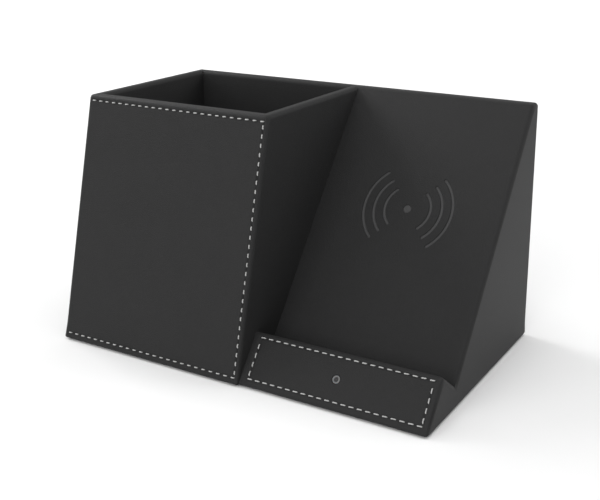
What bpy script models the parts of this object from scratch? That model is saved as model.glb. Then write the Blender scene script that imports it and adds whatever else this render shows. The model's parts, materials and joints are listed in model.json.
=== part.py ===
"""Desk organiser: a pen cup and a wireless phone charger side by side, covered in black leatherette.

Metres, +Z up. The origin is the middle of the footprint on the desk. +X runs from the cup to the
charger and +Y from the front to the back. Fibreboard panels carry a leatherette skin outside, the
cup has a leatherette lining, and the wedge under the charging panel holds the electronics.
"""

import math

import bmesh
import bpy
from mathutils import Vector

MM = 0.001

# Driving dimensions of the outside
WIDTH = 200 * MM
DEPTH = 121 * MM
HEIGHT = 120 * MM
CUP_WIDTH = 106 * MM
CUP_FRONT_RUN = 30 * MM
PANEL_LEAN = math.radians(37.8)
LIP_LENGTH = 27.5 * MM
LEDGE_DEPTH = 17 * MM

# Build-up of a wall, from the outside in
SKIN = 0.9 * MM
GAP = 0.3 * MM
BOARD = 3.6 * MM
LINING = 0.9 * MM
BOARD_OUT = SKIN + GAP
BOARD_IN = BOARD_OUT + BOARD
BEHIND_BOARD = BOARD_IN + GAP
LINING_IN = BEHIND_BOARD + LINING

# Levels above the desk
PAD_TOP = 1.0 * MM
SKIN_FOOT = 0.4 * MM
BOARD_FOOT = PAD_TOP + GAP
FLOOR_TOP = BOARD_FOOT + BOARD
ABOVE_FLOOR = FLOOR_TOP + GAP
CABLE_ROOM = 3.2 * MM
PAD_INSET = 2.5 * MM

# Stations across the width and the depth
LEFT = -WIDTH / 2
RIGHT = WIDTH / 2
SPLIT = LEFT + CUP_WIDTH
CHARGER_LEFT = SPLIT + GAP
CHARGER_MID = (SPLIT + RIGHT) / 2
FRONT = -DEPTH / 2
BACK = DEPTH / 2
CUP_LEAN = math.atan2(CUP_FRONT_RUN, HEIGHT)
CUP_SLOPE = math.hypot(CUP_FRONT_RUN, HEIGHT)

# Sewing threads, as continuous strips on the skins
THREAD_WIDTH = 0.7 * MM
THREAD_HEIGHT = 0.4 * MM
CUP_ROW_FROM_TOP = 2.67 * MM
CUP_ROW_FROM_FOOT = 4.02 * MM
CUP_COLUMN_FROM_EDGE = 2.14 * MM
LIP_ROW_FROM_TOP = 2.48 * MM
LIP_ROW_FROM_FOOT = 5.31 * MM
LIP_COLUMN_FROM_EDGE = 3.8 * MM

# Debossed wave sign on the charging panel, centred over the coil
COIL_CENTRE = 76 * MM
WAVE_RADII = (11.7 * MM, 17.25 * MM, 22.5 * MM)
WAVE_HALF_ANGLE = math.radians(48.5)
WAVE_WIDTH = 1.3 * MM
WAVE_DOT_RADIUS = 2.0 * MM
WAVE_DEPTH = 0.4 * MM
WAVE_STEPS = 16
WAVE_END_STEPS = 4
DOT_SIDES = 24

# Charging coil, its pocket and its tray
WIRE_RADIUS = 0.5 * MM
WIRE_BEVEL = 2
COIL_TURNS = 8
COIL_INNER = 10.5 * MM
COIL_PITCH = 1.35 * MM
COIL_STEPS_PER_TURN = 20
POCKET_RADIUS = 24 * MM
POCKET_SIDES = 48
POCKET_DEPTH = 2.4 * MM
POCKET_FLOOR = -(BOARD_IN - POCKET_DEPTH)
FERRITE_RADIUS = 23.4 * MM
FERRITE_THICKNESS = 0.5 * MM
FERRITE_SIDES = 40
TRAY_SIZE = 58 * MM
TRAY_THICKNESS = 1.6 * MM
TRAY_SCREW_OFFSET = 25 * MM
CHANNEL_WIDTH = 6 * MM
CHANNEL_END = 52 * MM

# Screws and standoffs
SCREW_RADIUS = 1.0 * MM
SCREW_HEAD_RADIUS = 1.9 * MM
SCREW_HEAD = 1.3 * MM
SCREW_HEAD_STRAIGHT_SHARE = 0.6
SCREW_HEAD_TOP_SHARE = 0.7
SCREW_HOLE = SCREW_RADIUS + GAP
SCREW_SIDES = 12
STANDOFF_RADIUS = 2.6 * MM
STANDOFF_HEIGHT = 2.7 * MM

# Circuit board behind the panel, level with the inlet in the back
PCB_WIDTH = 48 * MM
PCB_DEPTH = 36 * MM
PCB_THICKNESS = 1.2 * MM
PCB_BACK = BACK - 6.5 * MM
PCB_MIDDLE = PCB_BACK - PCB_DEPTH / 2
PCB_UNDER = ABOVE_FLOOR + STANDOFF_HEIGHT + GAP
PCB_TOP = PCB_UNDER + PCB_THICKNESS
PCB_SCREW_X = 20.5 * MM
PCB_SCREW_Y = 14.5 * MM
ON_PCB = PCB_TOP + GAP

# Parts on the circuit board: place from its middle, width, depth and height, corner radius, finish
CHIP_CORNER = 0.3 * MM
BOARD_PARTS = {
    "controller_chip": ((-6 * MM, 2 * MM), (6 * MM, 6 * MM, 0.9 * MM), CHIP_CORNER, "chip_plastic"),
    "coil_driver_chip": ((6 * MM, -2 * MM), (5 * MM, 6 * MM, 1.2 * MM), CHIP_CORNER, "chip_plastic"),
    "power_inductor": ((14 * MM, 5 * MM), (7 * MM, 7 * MM, 3.2 * MM), 1.2 * MM, "ferrite"),
    "film_capacitor_1": ((-5 * MM, -12 * MM), (7 * MM, 5 * MM, 6 * MM), 0.5 * MM, "capacitor_case"),
    "film_capacitor_2": ((3 * MM, -12 * MM), (7 * MM, 5 * MM, 6 * MM), 0.5 * MM, "capacitor_case"),
}
BOARD_PART_STEPS = 2

# Inlet in the back
INLET_WIDTH = 8.9 * MM
INLET_HEIGHT = 3.2 * MM
INLET_LENGTH = 8.0 * MM
INLET_WALL = 0.3 * MM
INLET_END_FLAT = INLET_WALL / 4
INLET_STEPS = 6
INLET_MOUTH = BACK - 0.8 * MM
INLET_LEVEL = ON_PCB + INLET_HEIGHT / 2
TONGUE_WIDTH = 6.6 * MM
TONGUE_THICKNESS = 0.7 * MM
TONGUE_BASE = 1.9 * MM
TONGUE_BASE_LENGTH = 1.5 * MM
TONGUE_LENGTH = 6.2 * MM
BEZEL_CLEARANCE = 0.4 * MM
BEZEL_WALL = 1.6 * MM
BEZEL_END_FLAT = 0.3 * MM
BEZEL_FACE = BACK - 0.2 * MM

# Indicator in the lip, a little to the cup's side of its middle
INDICATOR_HEIGHT = 15.1 * MM
INDICATOR_ASIDE = -0.45 * MM
INDICATOR_OUTER = 1.85 * MM
INDICATOR_INNER = 1.0 * MM
INDICATOR_SINK = 0.1 * MM
LAMP_BOARD_WIDTH = 12 * MM
LAMP_BOARD_HEIGHT = 6.4 * MM
LAMP_BOARD_THICKNESS = 0.8 * MM
LAMP_SIZE = 1.6 * MM
LAMP_HEIGHT = 0.6 * MM
INDICATOR_LENGTH = 3.4 * MM
INDICATOR_SIDES = 24
CORE_SIDES = 16

# Coil leads: where they land in from the board's front edge, their run in the channel as
# (above the channel's foot, below the coil), and their fall as (aside, before the landing, height)
LANDING_FROM_EDGE = 4 * MM
LEAD_STRAIGHT_END = 3 * MM
LEAD_IN_CHANNEL = ((8 * MM, 0.4 * MM), (2 * MM, 3.3 * MM))
LEAD_FALL = ((2 * MM, 18 * MM, 17 * MM), (4 * MM, 5 * MM, 14 * MM), (8 * MM, 0.0, 12 * MM))
LEAD_TAIL = 0.5 * MM
STEPS_PER_SPAN = 4

# Lamp cable, which drops from the lamp board, crosses the floor and rises to the circuit board
LAMP_CABLE_ASIDE = 4 * MM
LAMP_CABLE_DROP_RUN = 3 * MM
LAMP_CABLE_DROP_RISE = 0.6 * MM
LAMP_CABLE_FLOOR_RUN = 10 * MM
LAMP_CABLE_BEND = 3 * MM
LAMP_CABLE_END_ASIDE = 10 * MM
LAMP_CABLE_LIFT = 12 * MM
LAMP_CABLE_END = 4.6 * MM

# How far a cutter runs past the wall that it opens
OVERSHOOT = 2 * MM

# Edges of a round piece that turn more than this stay sharp
SHARP_ANGLE = math.radians(40)

# Colour, roughness and metallic value of each finish
FINISHES = {
    "leatherette": ((0.040, 0.040, 0.041), 0.62, 0.0),
    "lining": ((0.030, 0.030, 0.031), 0.72, 0.0),
    "fibreboard": ((0.36, 0.25, 0.16), 0.85, 0.0),
    "thread": ((0.56, 0.56, 0.55), 0.70, 0.0),
    "foam": ((0.022, 0.022, 0.023), 0.90, 0.0),
    "tray_plastic": ((0.055, 0.055, 0.058), 0.55, 0.0),
    "circuit_laminate": ((0.015, 0.13, 0.055), 0.45, 0.0),
    "chip_plastic": ((0.020, 0.020, 0.022), 0.50, 0.0),
    "capacitor_case": ((0.42, 0.06, 0.04), 0.45, 0.0),
    "ferrite": ((0.085, 0.085, 0.090), 0.60, 0.0),
    "copper": ((0.72, 0.30, 0.13), 0.32, 1.0),
    "steel": ((0.58, 0.58, 0.60), 0.35, 1.0),
    "light_guide": ((0.46, 0.47, 0.48), 0.35, 0.0),
    "cable_sheath": ((0.035, 0.035, 0.036), 0.55, 0.0),
}


# ---------------------------------------------------------------- side profiles


def line(point, inward):
    """A straight edge of a side profile, as a (y, z) point and the unit normal into the body."""
    return Vector(point), Vector(inward)


def inset(edge, distance):
    """The same edge, moved into the body."""
    point, inward = edge
    return point + inward * distance, inward


def meet(first, second):
    """The (y, z) corner where two edges cross."""
    (p, n), (q, m) = first, second
    cross = n.x * m.y - n.y * m.x
    a = n.dot(p)
    b = m.dot(q)
    return Vector(((a * m.y - b * n.y) / cross, (n.x * b - m.x * a) / cross))


def corners(*edges):
    """The corners of the outline that these edges bound, taken in order."""
    return [meet(a, b) for a, b in zip(edges, edges[1:] + edges[:1])]


def level(height):
    """A horizontal edge at a height."""
    return line((0, height), (0, 1))


UP_PANEL = Vector((math.sin(PANEL_LEAN), math.cos(PANEL_LEAN)))
INTO_PANEL = Vector((math.cos(PANEL_LEAN), -math.sin(PANEL_LEAN)))
LIP_FOOT = Vector((FRONT, 0))
LIP_TOP = LIP_FOOT + UP_PANEL * LIP_LENGTH
GROOVE = LIP_TOP + INTO_PANEL * LEDGE_DEPTH

CUP_FRONT = line((FRONT, 0), (math.cos(CUP_LEAN), -math.sin(CUP_LEAN)))
LIP_FRONT = line(LIP_FOOT, INTO_PANEL)
LEDGE = line(LIP_TOP, -UP_PANEL)
PANEL = line(GROOVE, INTO_PANEL)
TOP = line((0, HEIGHT), (0, -1))
REAR = line((BACK, 0), (-1, 0))


# ---------------------------------------------------------------- modelling


def paint(piece, finish):
    """Gives a piece a material of its own with this finish."""
    color, roughness, metallic = FINISHES[finish]
    made = bpy.data.materials.new(piece.name + "_" + finish)
    made.use_nodes = True
    shader = made.node_tree.nodes["Principled BSDF"]
    shader.inputs["Base Color"].default_value = (*color, 1.0)
    shader.inputs["Roughness"].default_value = roughness
    shader.inputs["Metallic"].default_value = metallic
    piece.data.materials.append(made)


def add(name, data, finish, frame=None, place=(0, 0, 0)):
    """Links a mesh or curve as a named piece, at a place in a frame or in the world."""
    piece = bpy.data.objects.new(name, data)
    bpy.context.scene.collection.objects.link(piece)
    piece.parent = frame
    piece.location = place
    if finish:
        paint(piece, finish)
    return piece


def close_mesh(name, work):
    """Turns the faces outwards and stores the mesh."""
    bmesh.ops.recalc_face_normals(work, faces=work.faces)
    mesh = bpy.data.meshes.new(name)
    work.to_mesh(mesh)
    work.free()
    return mesh


LIFT = {
    "X": lambda a, b, h: (h, a, b),
    "Y": lambda a, b, h: (a, h, b),
    "Z": lambda a, b, h: (a, b, h),
}


def wall(work, first, second):
    """Joins two closed loops of vertices with a band of faces."""
    count = len(first)
    for i in range(count):
        j = (i + 1) % count
        work.faces.new((first[i], first[j], second[j], second[i]))


def add_bar(work, outline, low, high, along):
    """Adds a solid bar with this outline, from low to high along an axis."""
    near, far = ([work.verts.new(LIFT[along](a, b, h)) for a, b in outline] for h in (low, high))
    work.faces.new(near)
    work.faces.new(far)
    wall(work, near, far)


def bar(name, outline, low, high, finish, along="Z", **where):
    """A piece with one outline all the way along an axis."""
    work = bmesh.new()
    add_bar(work, outline, low, high, along)
    return add(name, close_mesh(name, work), finish, **where)


def collar(name, outer, inner, low, high, finish, along="Z", **where):
    """A piece with an outline and a hole, whose loops have the same number of points."""
    work = bmesh.new()
    lift = LIFT[along]
    out_low, in_low = ([work.verts.new(lift(a, b, low)) for a, b in loop] for loop in (outer, inner))
    out_high, in_high = ([work.verts.new(lift(a, b, high)) for a, b in loop] for loop in (outer, inner))
    wall(work, out_low, out_high)
    wall(work, in_low, in_high)
    wall(work, out_low, in_low)
    wall(work, out_high, in_high)
    return add(name, close_mesh(name, work), finish, **where)


def across(name, edges, low, high, finish):
    """A board or skin with a side profile of edges, running across the width from low to high."""
    return bar(name, corners(*edges), low, high, finish, along="X")


def turned(name, profile, sides, finish, **where):
    """A round piece from a (radius, height) profile that starts and ends on its axis."""
    work = bmesh.new()
    first = work.verts.new((0, 0, profile[0][1]))
    last = work.verts.new((0, 0, profile[-1][1]))
    rings = [
        [work.verts.new((*point, height)) for point in circle(radius, sides)]
        for radius, height in profile[1:-1]
    ]
    for lower, upper in zip(rings, rings[1:]):
        wall(work, lower, upper)
    for centre, ring in ((first, rings[0]), (last, rings[-1])):
        for i in range(sides):
            work.faces.new((centre, ring[i], ring[(i + 1) % sides]))
    piece = add(name, close_mesh(name, work), finish, **where)
    smooth_round(piece)
    return piece


def smooth_round(piece):
    """Shades a round piece smooth, with its rims kept sharp."""
    piece.data.shade_smooth()
    piece.data.set_sharp_from_angle(angle=SHARP_ANGLE)


def circle(radius, sides, x=0.0, y=0.0):
    """Points round a circle."""
    turn = 2 * math.pi / sides
    return [(x + radius * math.cos(i * turn), y + radius * math.sin(i * turn)) for i in range(sides)]


def arc(x, y, radius, start, end, steps):
    """Points along an arc, both ends included."""
    angles = [start + (end - start) * i / steps for i in range(steps + 1)]
    return [(x + radius * math.cos(a), y + radius * math.sin(a)) for a in angles]


def rectangle(x_low, x_high, y_low, y_high):
    """The four corners of a rectangle."""
    return [(x_low, y_low), (x_high, y_low), (x_high, y_high), (x_low, y_high)]


def rounded(width, height, radius, steps, x=0.0, y=0.0):
    """A rectangle with round corners, about a centre."""
    quarter = math.pi / 2
    reach_x = width / 2 - radius
    reach_y = height / 2 - radius
    points = []
    for i, (sx, sy) in enumerate(((1, 1), (-1, 1), (-1, -1), (1, -1))):
        points += arc(x + sx * reach_x, y + sy * reach_y, radius, i * quarter, (i + 1) * quarter, steps)
    return points


def smooth_route(points, per_span):
    """Points along a smooth curve through a route's own points."""
    route = [Vector(p) for p in points]
    padded = [2 * route[0] - route[1], *route, 2 * route[-1] - route[-2]]
    made = []
    for a, b, c, d in zip(padded, padded[1:], padded[2:], padded[3:]):
        for i in range(per_span):
            t = i / per_span
            bend = 2 * a - 5 * b + 4 * c - d
            twist = 3 * b - a - 3 * c + d
            made.append((2 * b + (c - a) * t + bend * t**2 + twist * t**3) / 2)
    return made + [route[-1]]


def wire(name, points, radius, finish, **where):
    """A round wire along points, with closed ends."""
    curve = bpy.data.curves.new(name, "CURVE")
    curve.dimensions = "3D"
    curve.fill_mode = "FULL"
    curve.use_fill_caps = True
    curve.bevel_depth = radius
    curve.bevel_resolution = WIRE_BEVEL
    spline = curve.splines.new("POLY")
    spline.points.add(len(points) - 1)
    for target, point in zip(spline.points, points):
        target.co = (*point, 1.0)
    return add(name, curve, finish, **where)


def frame_at(name, place, tilt):
    """An empty whose X runs across, whose Y runs up a sloping face and whose Z leaves the face."""
    empty = bpy.data.objects.new(name, None)
    bpy.context.scene.collection.objects.link(empty)
    empty.location = place
    empty.rotation_euler.x = tilt
    return empty


def hide_cutter(cutter):
    """Keeps a cutter out of the object."""
    cutter.hide_render = True
    cutter.display_type = "WIRE"
    return cutter


def cut(piece, cutter):
    """Opens a piece with a cutter."""
    boolean = piece.modifiers.new(cutter.name, "BOOLEAN")
    boolean.operation = "DIFFERENCE"
    boolean.solver = "EXACT"
    boolean.object = cutter


def bars_cutter(name, outlines, low, high, along="Z", **where):
    """One cutter made of several separate bars."""
    work = bmesh.new()
    for outline in outlines:
        add_bar(work, outline, low, high, along)
    return hide_cutter(add(name, close_mesh(name, work), None, **where))


# ---------------------------------------------------------------- the cup


def cup_boards():
    """Left, right and front walls and a floor of fibreboard. The shared back board closes the cup."""
    side = (
        level(BOARD_FOOT),
        inset(CUP_FRONT, BOARD_OUT),
        inset(TOP, BOARD_OUT),
        inset(REAR, BEHIND_BOARD),
    )
    across("cup_left_board", side, LEFT + BOARD_OUT, LEFT + BOARD_IN, "fibreboard")
    across("cup_right_board", side, SPLIT - BOARD_IN, SPLIT - BOARD_OUT, "fibreboard")
    front = (
        level(BOARD_FOOT),
        inset(CUP_FRONT, BOARD_OUT),
        inset(TOP, BOARD_OUT),
        inset(CUP_FRONT, BOARD_IN),
    )
    floor = (
        level(BOARD_FOOT),
        inset(CUP_FRONT, BEHIND_BOARD),
        level(FLOOR_TOP),
        inset(REAR, BEHIND_BOARD),
    )
    low = LEFT + BEHIND_BOARD
    high = SPLIT - BEHIND_BOARD
    across("cup_front_board", front, low, high, "fibreboard")
    across("cup_floor_board", floor, low, high, "fibreboard")


def cup_linings():
    """Leatherette sheets inside the cup: the sides run full depth and the others fit between them."""
    side = (
        level(ABOVE_FLOOR),
        inset(CUP_FRONT, BEHIND_BOARD),
        inset(TOP, BOARD_OUT),
        inset(REAR, BEHIND_BOARD),
    )
    across("cup_left_lining", side, LEFT + BEHIND_BOARD, LEFT + LINING_IN, "lining")
    across("cup_right_lining", side, SPLIT - LINING_IN, SPLIT - BEHIND_BOARD, "lining")
    low = LEFT + LINING_IN + GAP
    high = SPLIT - LINING_IN - GAP
    front = (
        level(ABOVE_FLOOR),
        inset(CUP_FRONT, BEHIND_BOARD),
        inset(TOP, BOARD_OUT),
        inset(CUP_FRONT, LINING_IN),
    )
    rear = (
        level(ABOVE_FLOOR),
        inset(REAR, LINING_IN),
        inset(TOP, BOARD_OUT),
        inset(REAR, BEHIND_BOARD),
    )
    floor = (
        level(ABOVE_FLOOR),
        inset(CUP_FRONT, LINING_IN + GAP),
        level(ABOVE_FLOOR + LINING),
        inset(REAR, LINING_IN + GAP),
    )
    across("cup_front_lining", front, low, high, "lining")
    across("cup_rear_lining", rear, low, high, "lining")
    across("cup_floor_lining", floor, low, high, "lining")


def cup_covers():
    """The skins on the cup's front, left, right and rim."""
    under_rim = inset(TOP, BOARD_OUT)
    left = (
        level(SKIN_FOOT),
        CUP_FRONT,
        under_rim,
        inset(REAR, BOARD_OUT),
    )
    right = (
        level(BOARD_FOOT),
        CUP_FRONT,
        under_rim,
        inset(REAR, BEHIND_BOARD),
    )
    across("cup_left_cover", left, LEFT, LEFT + SKIN, "leatherette")
    across("cup_right_cover", right, SPLIT - SKIN, SPLIT, "leatherette")
    front = (
        level(SKIN_FOOT),
        CUP_FRONT,
        under_rim,
        inset(CUP_FRONT, SKIN),
    )
    across("cup_front_cover", front, LEFT + BOARD_OUT, SPLIT - BOARD_OUT, "leatherette")
    rim_front = meet(CUP_FRONT, TOP).x
    mouth_front = meet(inset(CUP_FRONT, LINING_IN), TOP).x
    collar(
        "cup_rim_cover",
        rectangle(LEFT, SPLIT, rim_front, BACK),
        rectangle(LEFT + LINING_IN, SPLIT - LINING_IN, mouth_front, BACK - LINING_IN),
        HEIGHT - SKIN,
        HEIGHT,
        "leatherette",
    )


def cup_thread(front_frame):
    """The seam on the cup's front: a row under the rim, a row above the foot and a column between them."""
    half = THREAD_WIDTH / 2
    start = LEFT + BOARD_OUT
    column = SPLIT - CUP_COLUMN_FROM_EDGE
    top = CUP_SLOPE - CUP_ROW_FROM_TOP
    foot = CUP_ROW_FROM_FOOT
    outline = [
        (start, foot - half),
        (column + half, foot - half),
        (column + half, top + half),
        (start, top + half),
        (start, top - half),
        (column - half, top - half),
        (column - half, foot + half),
        (start, foot + half),
    ]
    bar("cup_front_thread", outline, GAP, GAP + THREAD_HEIGHT, "thread", frame=front_frame)


# ---------------------------------------------------------------- the charger's case


def charger_boards():
    """Fibreboard floor, lip, ledge, charging panel and end wall."""
    boards_right = RIGHT - BEHIND_BOARD
    end = (
        level(BOARD_FOOT),
        inset(LIP_FRONT, BOARD_OUT),
        inset(LEDGE, BOARD_OUT),
        inset(PANEL, BOARD_OUT),
        inset(TOP, BOARD_OUT),
        inset(REAR, BEHIND_BOARD),
    )
    across("charger_end_board", end, RIGHT - BOARD_IN, RIGHT - BOARD_OUT, "fibreboard")
    floor = (
        level(BOARD_FOOT),
        inset(LIP_FRONT, BEHIND_BOARD),
        level(FLOOR_TOP),
        inset(REAR, BEHIND_BOARD),
    )
    across("charger_floor_board", floor, CHARGER_LEFT, boards_right, "fibreboard")
    lip = (
        level(BOARD_FOOT),
        inset(LIP_FRONT, BOARD_OUT),
        inset(LEDGE, BOARD_OUT),
        inset(LIP_FRONT, BOARD_IN),
    )
    lip_board = across("lip_board", lip, CHARGER_LEFT, boards_right, "fibreboard")
    ledge = (
        inset(LIP_FRONT, BEHIND_BOARD),
        inset(LEDGE, BOARD_OUT),
        inset(PANEL, SKIN),
        inset(LEDGE, BOARD_IN),
    )
    across("ledge_board", ledge, CHARGER_LEFT, boards_right, "fibreboard")
    panel = (
        level(FLOOR_TOP + CABLE_ROOM),
        inset(PANEL, BOARD_OUT),
        inset(TOP, BOARD_OUT),
        inset(REAR, BEHIND_BOARD),
        inset(PANEL, BOARD_IN),
    )
    panel_board = across("charging_panel_board", panel, CHARGER_LEFT, boards_right, "fibreboard")
    return lip_board, panel_board


def charger_covers():
    """The skins on the lip, ledge, charging panel with its top fold, and end wall."""
    covers_right = RIGHT - BOARD_OUT
    end = (
        level(SKIN_FOOT),
        LIP_FRONT,
        LEDGE,
        PANEL,
        TOP,
        inset(REAR, BOARD_OUT),
    )
    across("charger_end_cover", end, RIGHT - SKIN, RIGHT, "leatherette")
    lip = (
        level(SKIN_FOOT),
        LIP_FRONT,
        LEDGE,
        inset(LIP_FRONT, SKIN),
    )
    lip_cover = across("lip_cover", lip, CHARGER_LEFT, covers_right, "leatherette")
    ledge = (
        inset(LIP_FRONT, BOARD_OUT),
        LEDGE,
        inset(PANEL, -GAP),
        inset(LEDGE, SKIN),
    )
    across("ledge_cover", ledge, CHARGER_LEFT, covers_right, "leatherette")
    panel = (
        inset(LEDGE, -GAP),
        PANEL,
        TOP,
        REAR,
        inset(TOP, SKIN),
        inset(PANEL, SKIN),
    )
    panel_cover = across("charging_panel_cover", panel, CHARGER_LEFT, covers_right, "leatherette")
    return lip_cover, panel_cover


def lip_thread(lip_frame):
    """The rectangular seam round the lip's front."""
    half_width = (RIGHT - SPLIT) / 2 - LIP_COLUMN_FROM_EDGE
    foot = LIP_ROW_FROM_FOOT
    top = LIP_LENGTH - LIP_ROW_FROM_TOP
    half = THREAD_WIDTH / 2
    loops = [
        rectangle(-half_width - s, half_width + s, foot - s, top + s) for s in (half, -half)
    ]
    collar("lip_thread", *loops, GAP, GAP + THREAD_HEIGHT, "thread", frame=lip_frame)


def wave_outline(radius, middle):
    """One wave of the sign: an arc of even width with round ends, about the direction middle."""
    half = WAVE_WIDTH / 2
    start = middle - WAVE_HALF_ANGLE
    end = middle + WAVE_HALF_ANGLE
    start_x = radius * math.cos(start)
    start_y = COIL_CENTRE + radius * math.sin(start)
    end_x = radius * math.cos(end)
    end_y = COIL_CENTRE + radius * math.sin(end)
    outer = arc(0, COIL_CENTRE, radius + half, start, end, WAVE_STEPS)
    far_end = arc(end_x, end_y, half, end, end + math.pi, WAVE_END_STEPS)[1:-1]
    inner = arc(0, COIL_CENTRE, radius - half, end, start, WAVE_STEPS)
    near_end = arc(
        start_x, start_y, half, start + math.pi, start + 2 * math.pi, WAVE_END_STEPS
    )[1:-1]
    return outer + far_end + inner + near_end


def deboss_sign(panel_cover, panel_frame):
    """Presses the dot and the waves into the panel's skin."""
    outlines = [circle(WAVE_DOT_RADIUS, DOT_SIDES, y=COIL_CENTRE)]
    outlines += [wave_outline(radius, side) for radius in WAVE_RADII for side in (0, math.pi)]
    cut(panel_cover, bars_cutter("sign_cutter", outlines, -WAVE_DEPTH, OVERSHOOT, frame=panel_frame))


# ---------------------------------------------------------------- shared back and foot


def back_pieces():
    """The fibreboard back and its skin, both the full width, with the inlet's opening."""
    back = (
        level(BOARD_FOOT),
        inset(REAR, BOARD_IN),
        inset(TOP, BOARD_OUT),
        inset(REAR, BOARD_OUT),
    )
    cover = (
        level(SKIN_FOOT),
        inset(REAR, SKIN),
        inset(TOP, BOARD_OUT),
        REAR,
    )
    board = across("back_board", back, LEFT + BOARD_OUT, RIGHT - BOARD_OUT, "fibreboard")
    skin = across("back_cover", cover, LEFT, RIGHT, "leatherette")
    width, height = bezel_size()
    opening = rounded(
        width + 2 * GAP,
        height + 2 * GAP,
        height / 2,
        INLET_STEPS,
        x=CHARGER_MID,
        y=INLET_LEVEL,
    )
    cutter = bars_cutter(
        "inlet_cutter", [opening], BACK - BOARD_IN - OVERSHOOT, BACK + OVERSHOOT, along="Y"
    )
    cut(board, cutter)
    cut(skin, cutter)


def base_pad():
    """The foam pad that the whole organiser stands on."""
    outline = rectangle(LEFT + PAD_INSET, RIGHT - PAD_INSET, FRONT + PAD_INSET, BACK - PAD_INSET)
    bar("base_pad", outline, 0, PAD_TOP, "foam")


# ---------------------------------------------------------------- electronics


def screw(name, length, **where):
    """A steel pan-head screw whose head stands on Z = 0 and whose shank runs down."""
    profile = (
        (0, -length),
        (SCREW_RADIUS, -length),
        (SCREW_RADIUS, 0),
        (SCREW_HEAD_RADIUS, 0),
        (SCREW_HEAD_RADIUS, SCREW_HEAD * SCREW_HEAD_STRAIGHT_SHARE),
        (SCREW_HEAD_RADIUS * SCREW_HEAD_TOP_SHARE, SCREW_HEAD),
        (0, SCREW_HEAD),
    )
    return turned(name, profile, SCREW_SIDES, "steel", **where)


def four_corners(x, y):
    """The four places at plus and minus x and y."""
    return [(sx * x, sy * y) for sy in (-1, 1) for sx in (-1, 1)]


def spiral():
    """Points along the coil's flat spiral, from the inside out."""
    points = []
    for i in range(COIL_TURNS * COIL_STEPS_PER_TURN + 1):
        turn = i / COIL_STEPS_PER_TURN
        radius = COIL_INNER + COIL_PITCH * turn
        angle = 2 * math.pi * turn
        points.append((radius * math.cos(angle), radius * math.sin(angle), 0))
    return points


def coil_stack(panel_frame, panel_board):
    """The coil and its ferrite in a pocket behind the panel, closed by a tray with four screws."""
    back_face = -BOARD_IN
    pocket = bars_cutter(
        "pocket_cutter",
        [circle(POCKET_RADIUS, POCKET_SIDES, y=COIL_CENTRE)],
        back_face - OVERSHOOT,
        POCKET_FLOOR,
        frame=panel_frame,
    )
    channel = bars_cutter(
        "channel_cutter",
        [rectangle(-CHANNEL_WIDTH / 2, CHANNEL_WIDTH / 2, COIL_CENTRE - CHANNEL_END, COIL_CENTRE)],
        back_face - OVERSHOOT,
        POCKET_FLOOR,
        frame=panel_frame,
    )
    places = [(x, COIL_CENTRE + y) for x, y in four_corners(TRAY_SCREW_OFFSET, TRAY_SCREW_OFFSET)]
    tray_front = back_face - GAP
    tray_back = tray_front - TRAY_THICKNESS
    screw_reach = TRAY_THICKNESS + GAP + BOARD / 2
    holes = bars_cutter(
        "tray_hole_cutter",
        [circle(SCREW_HOLE, SCREW_SIDES, x, y) for x, y in places],
        tray_back - OVERSHOOT,
        tray_back - GAP + screw_reach + GAP,
        frame=panel_frame,
    )
    for cutter in (pocket, channel, holes):
        cut(panel_board, cutter)
    coil_level = POCKET_FLOOR - GAP - WIRE_RADIUS
    wire(
        "charging_coil",
        spiral(),
        WIRE_RADIUS,
        "copper",
        frame=panel_frame,
        place=(0, COIL_CENTRE, coil_level),
    )
    ferrite_top = coil_level - WIRE_RADIUS - GAP
    bar(
        "ferrite_sheet",
        circle(FERRITE_RADIUS, FERRITE_SIDES, y=COIL_CENTRE),
        ferrite_top - FERRITE_THICKNESS,
        ferrite_top,
        "ferrite",
        frame=panel_frame,
    )
    half = TRAY_SIZE / 2
    tray = bar(
        "coil_tray",
        rectangle(-half, half, COIL_CENTRE - half, COIL_CENTRE + half),
        tray_back,
        tray_front,
        "tray_plastic",
        frame=panel_frame,
    )
    cut(tray, holes)
    for i, (x, y) in enumerate(places, start=1):
        piece = screw(
            f"tray_screw_{i}", screw_reach, frame=panel_frame, place=(x, y, tray_back - GAP)
        )
        piece.rotation_euler.x = math.pi
    return coil_level


def circuit_board():
    """The laminate on four standoffs, with its screws."""
    places = [
        (CHARGER_MID + x, PCB_MIDDLE + y) for x, y in four_corners(PCB_SCREW_X, PCB_SCREW_Y)
    ]
    board = bar(
        "circuit_board",
        rectangle(
            CHARGER_MID - PCB_WIDTH / 2,
            CHARGER_MID + PCB_WIDTH / 2,
            PCB_MIDDLE - PCB_DEPTH / 2,
            PCB_BACK,
        ),
        PCB_UNDER,
        PCB_TOP,
        "circuit_laminate",
    )
    holes = bars_cutter(
        "pcb_hole_cutter",
        [circle(SCREW_HOLE, SCREW_SIDES, x, y) for x, y in places],
        PCB_UNDER - OVERSHOOT,
        PCB_TOP + OVERSHOOT,
    )
    cut(board, holes)
    length = PCB_THICKNESS + STANDOFF_HEIGHT
    for i, (x, y) in enumerate(places, start=1):
        collar(
            f"pcb_standoff_{i}",
            circle(STANDOFF_RADIUS, SCREW_SIDES, x, y),
            circle(SCREW_HOLE, SCREW_SIDES, x, y),
            ABOVE_FLOOR,
            ABOVE_FLOOR + STANDOFF_HEIGHT,
            "tray_plastic",
        )
        screw(f"pcb_screw_{i}", length, place=(x, y, ON_PCB))


def board_parts():
    """The controller, the coil driver, the inductor and two film capacitors, as blocks on the board."""
    for name, (place, size, radius, finish) in BOARD_PARTS.items():
        x, y = place
        width, depth, height = size
        outline = rounded(
            width, depth, radius, BOARD_PART_STEPS, x=CHARGER_MID + x, y=PCB_MIDDLE + y
        )
        bar(name, outline, ON_PCB, ON_PCB + height, finish)


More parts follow.
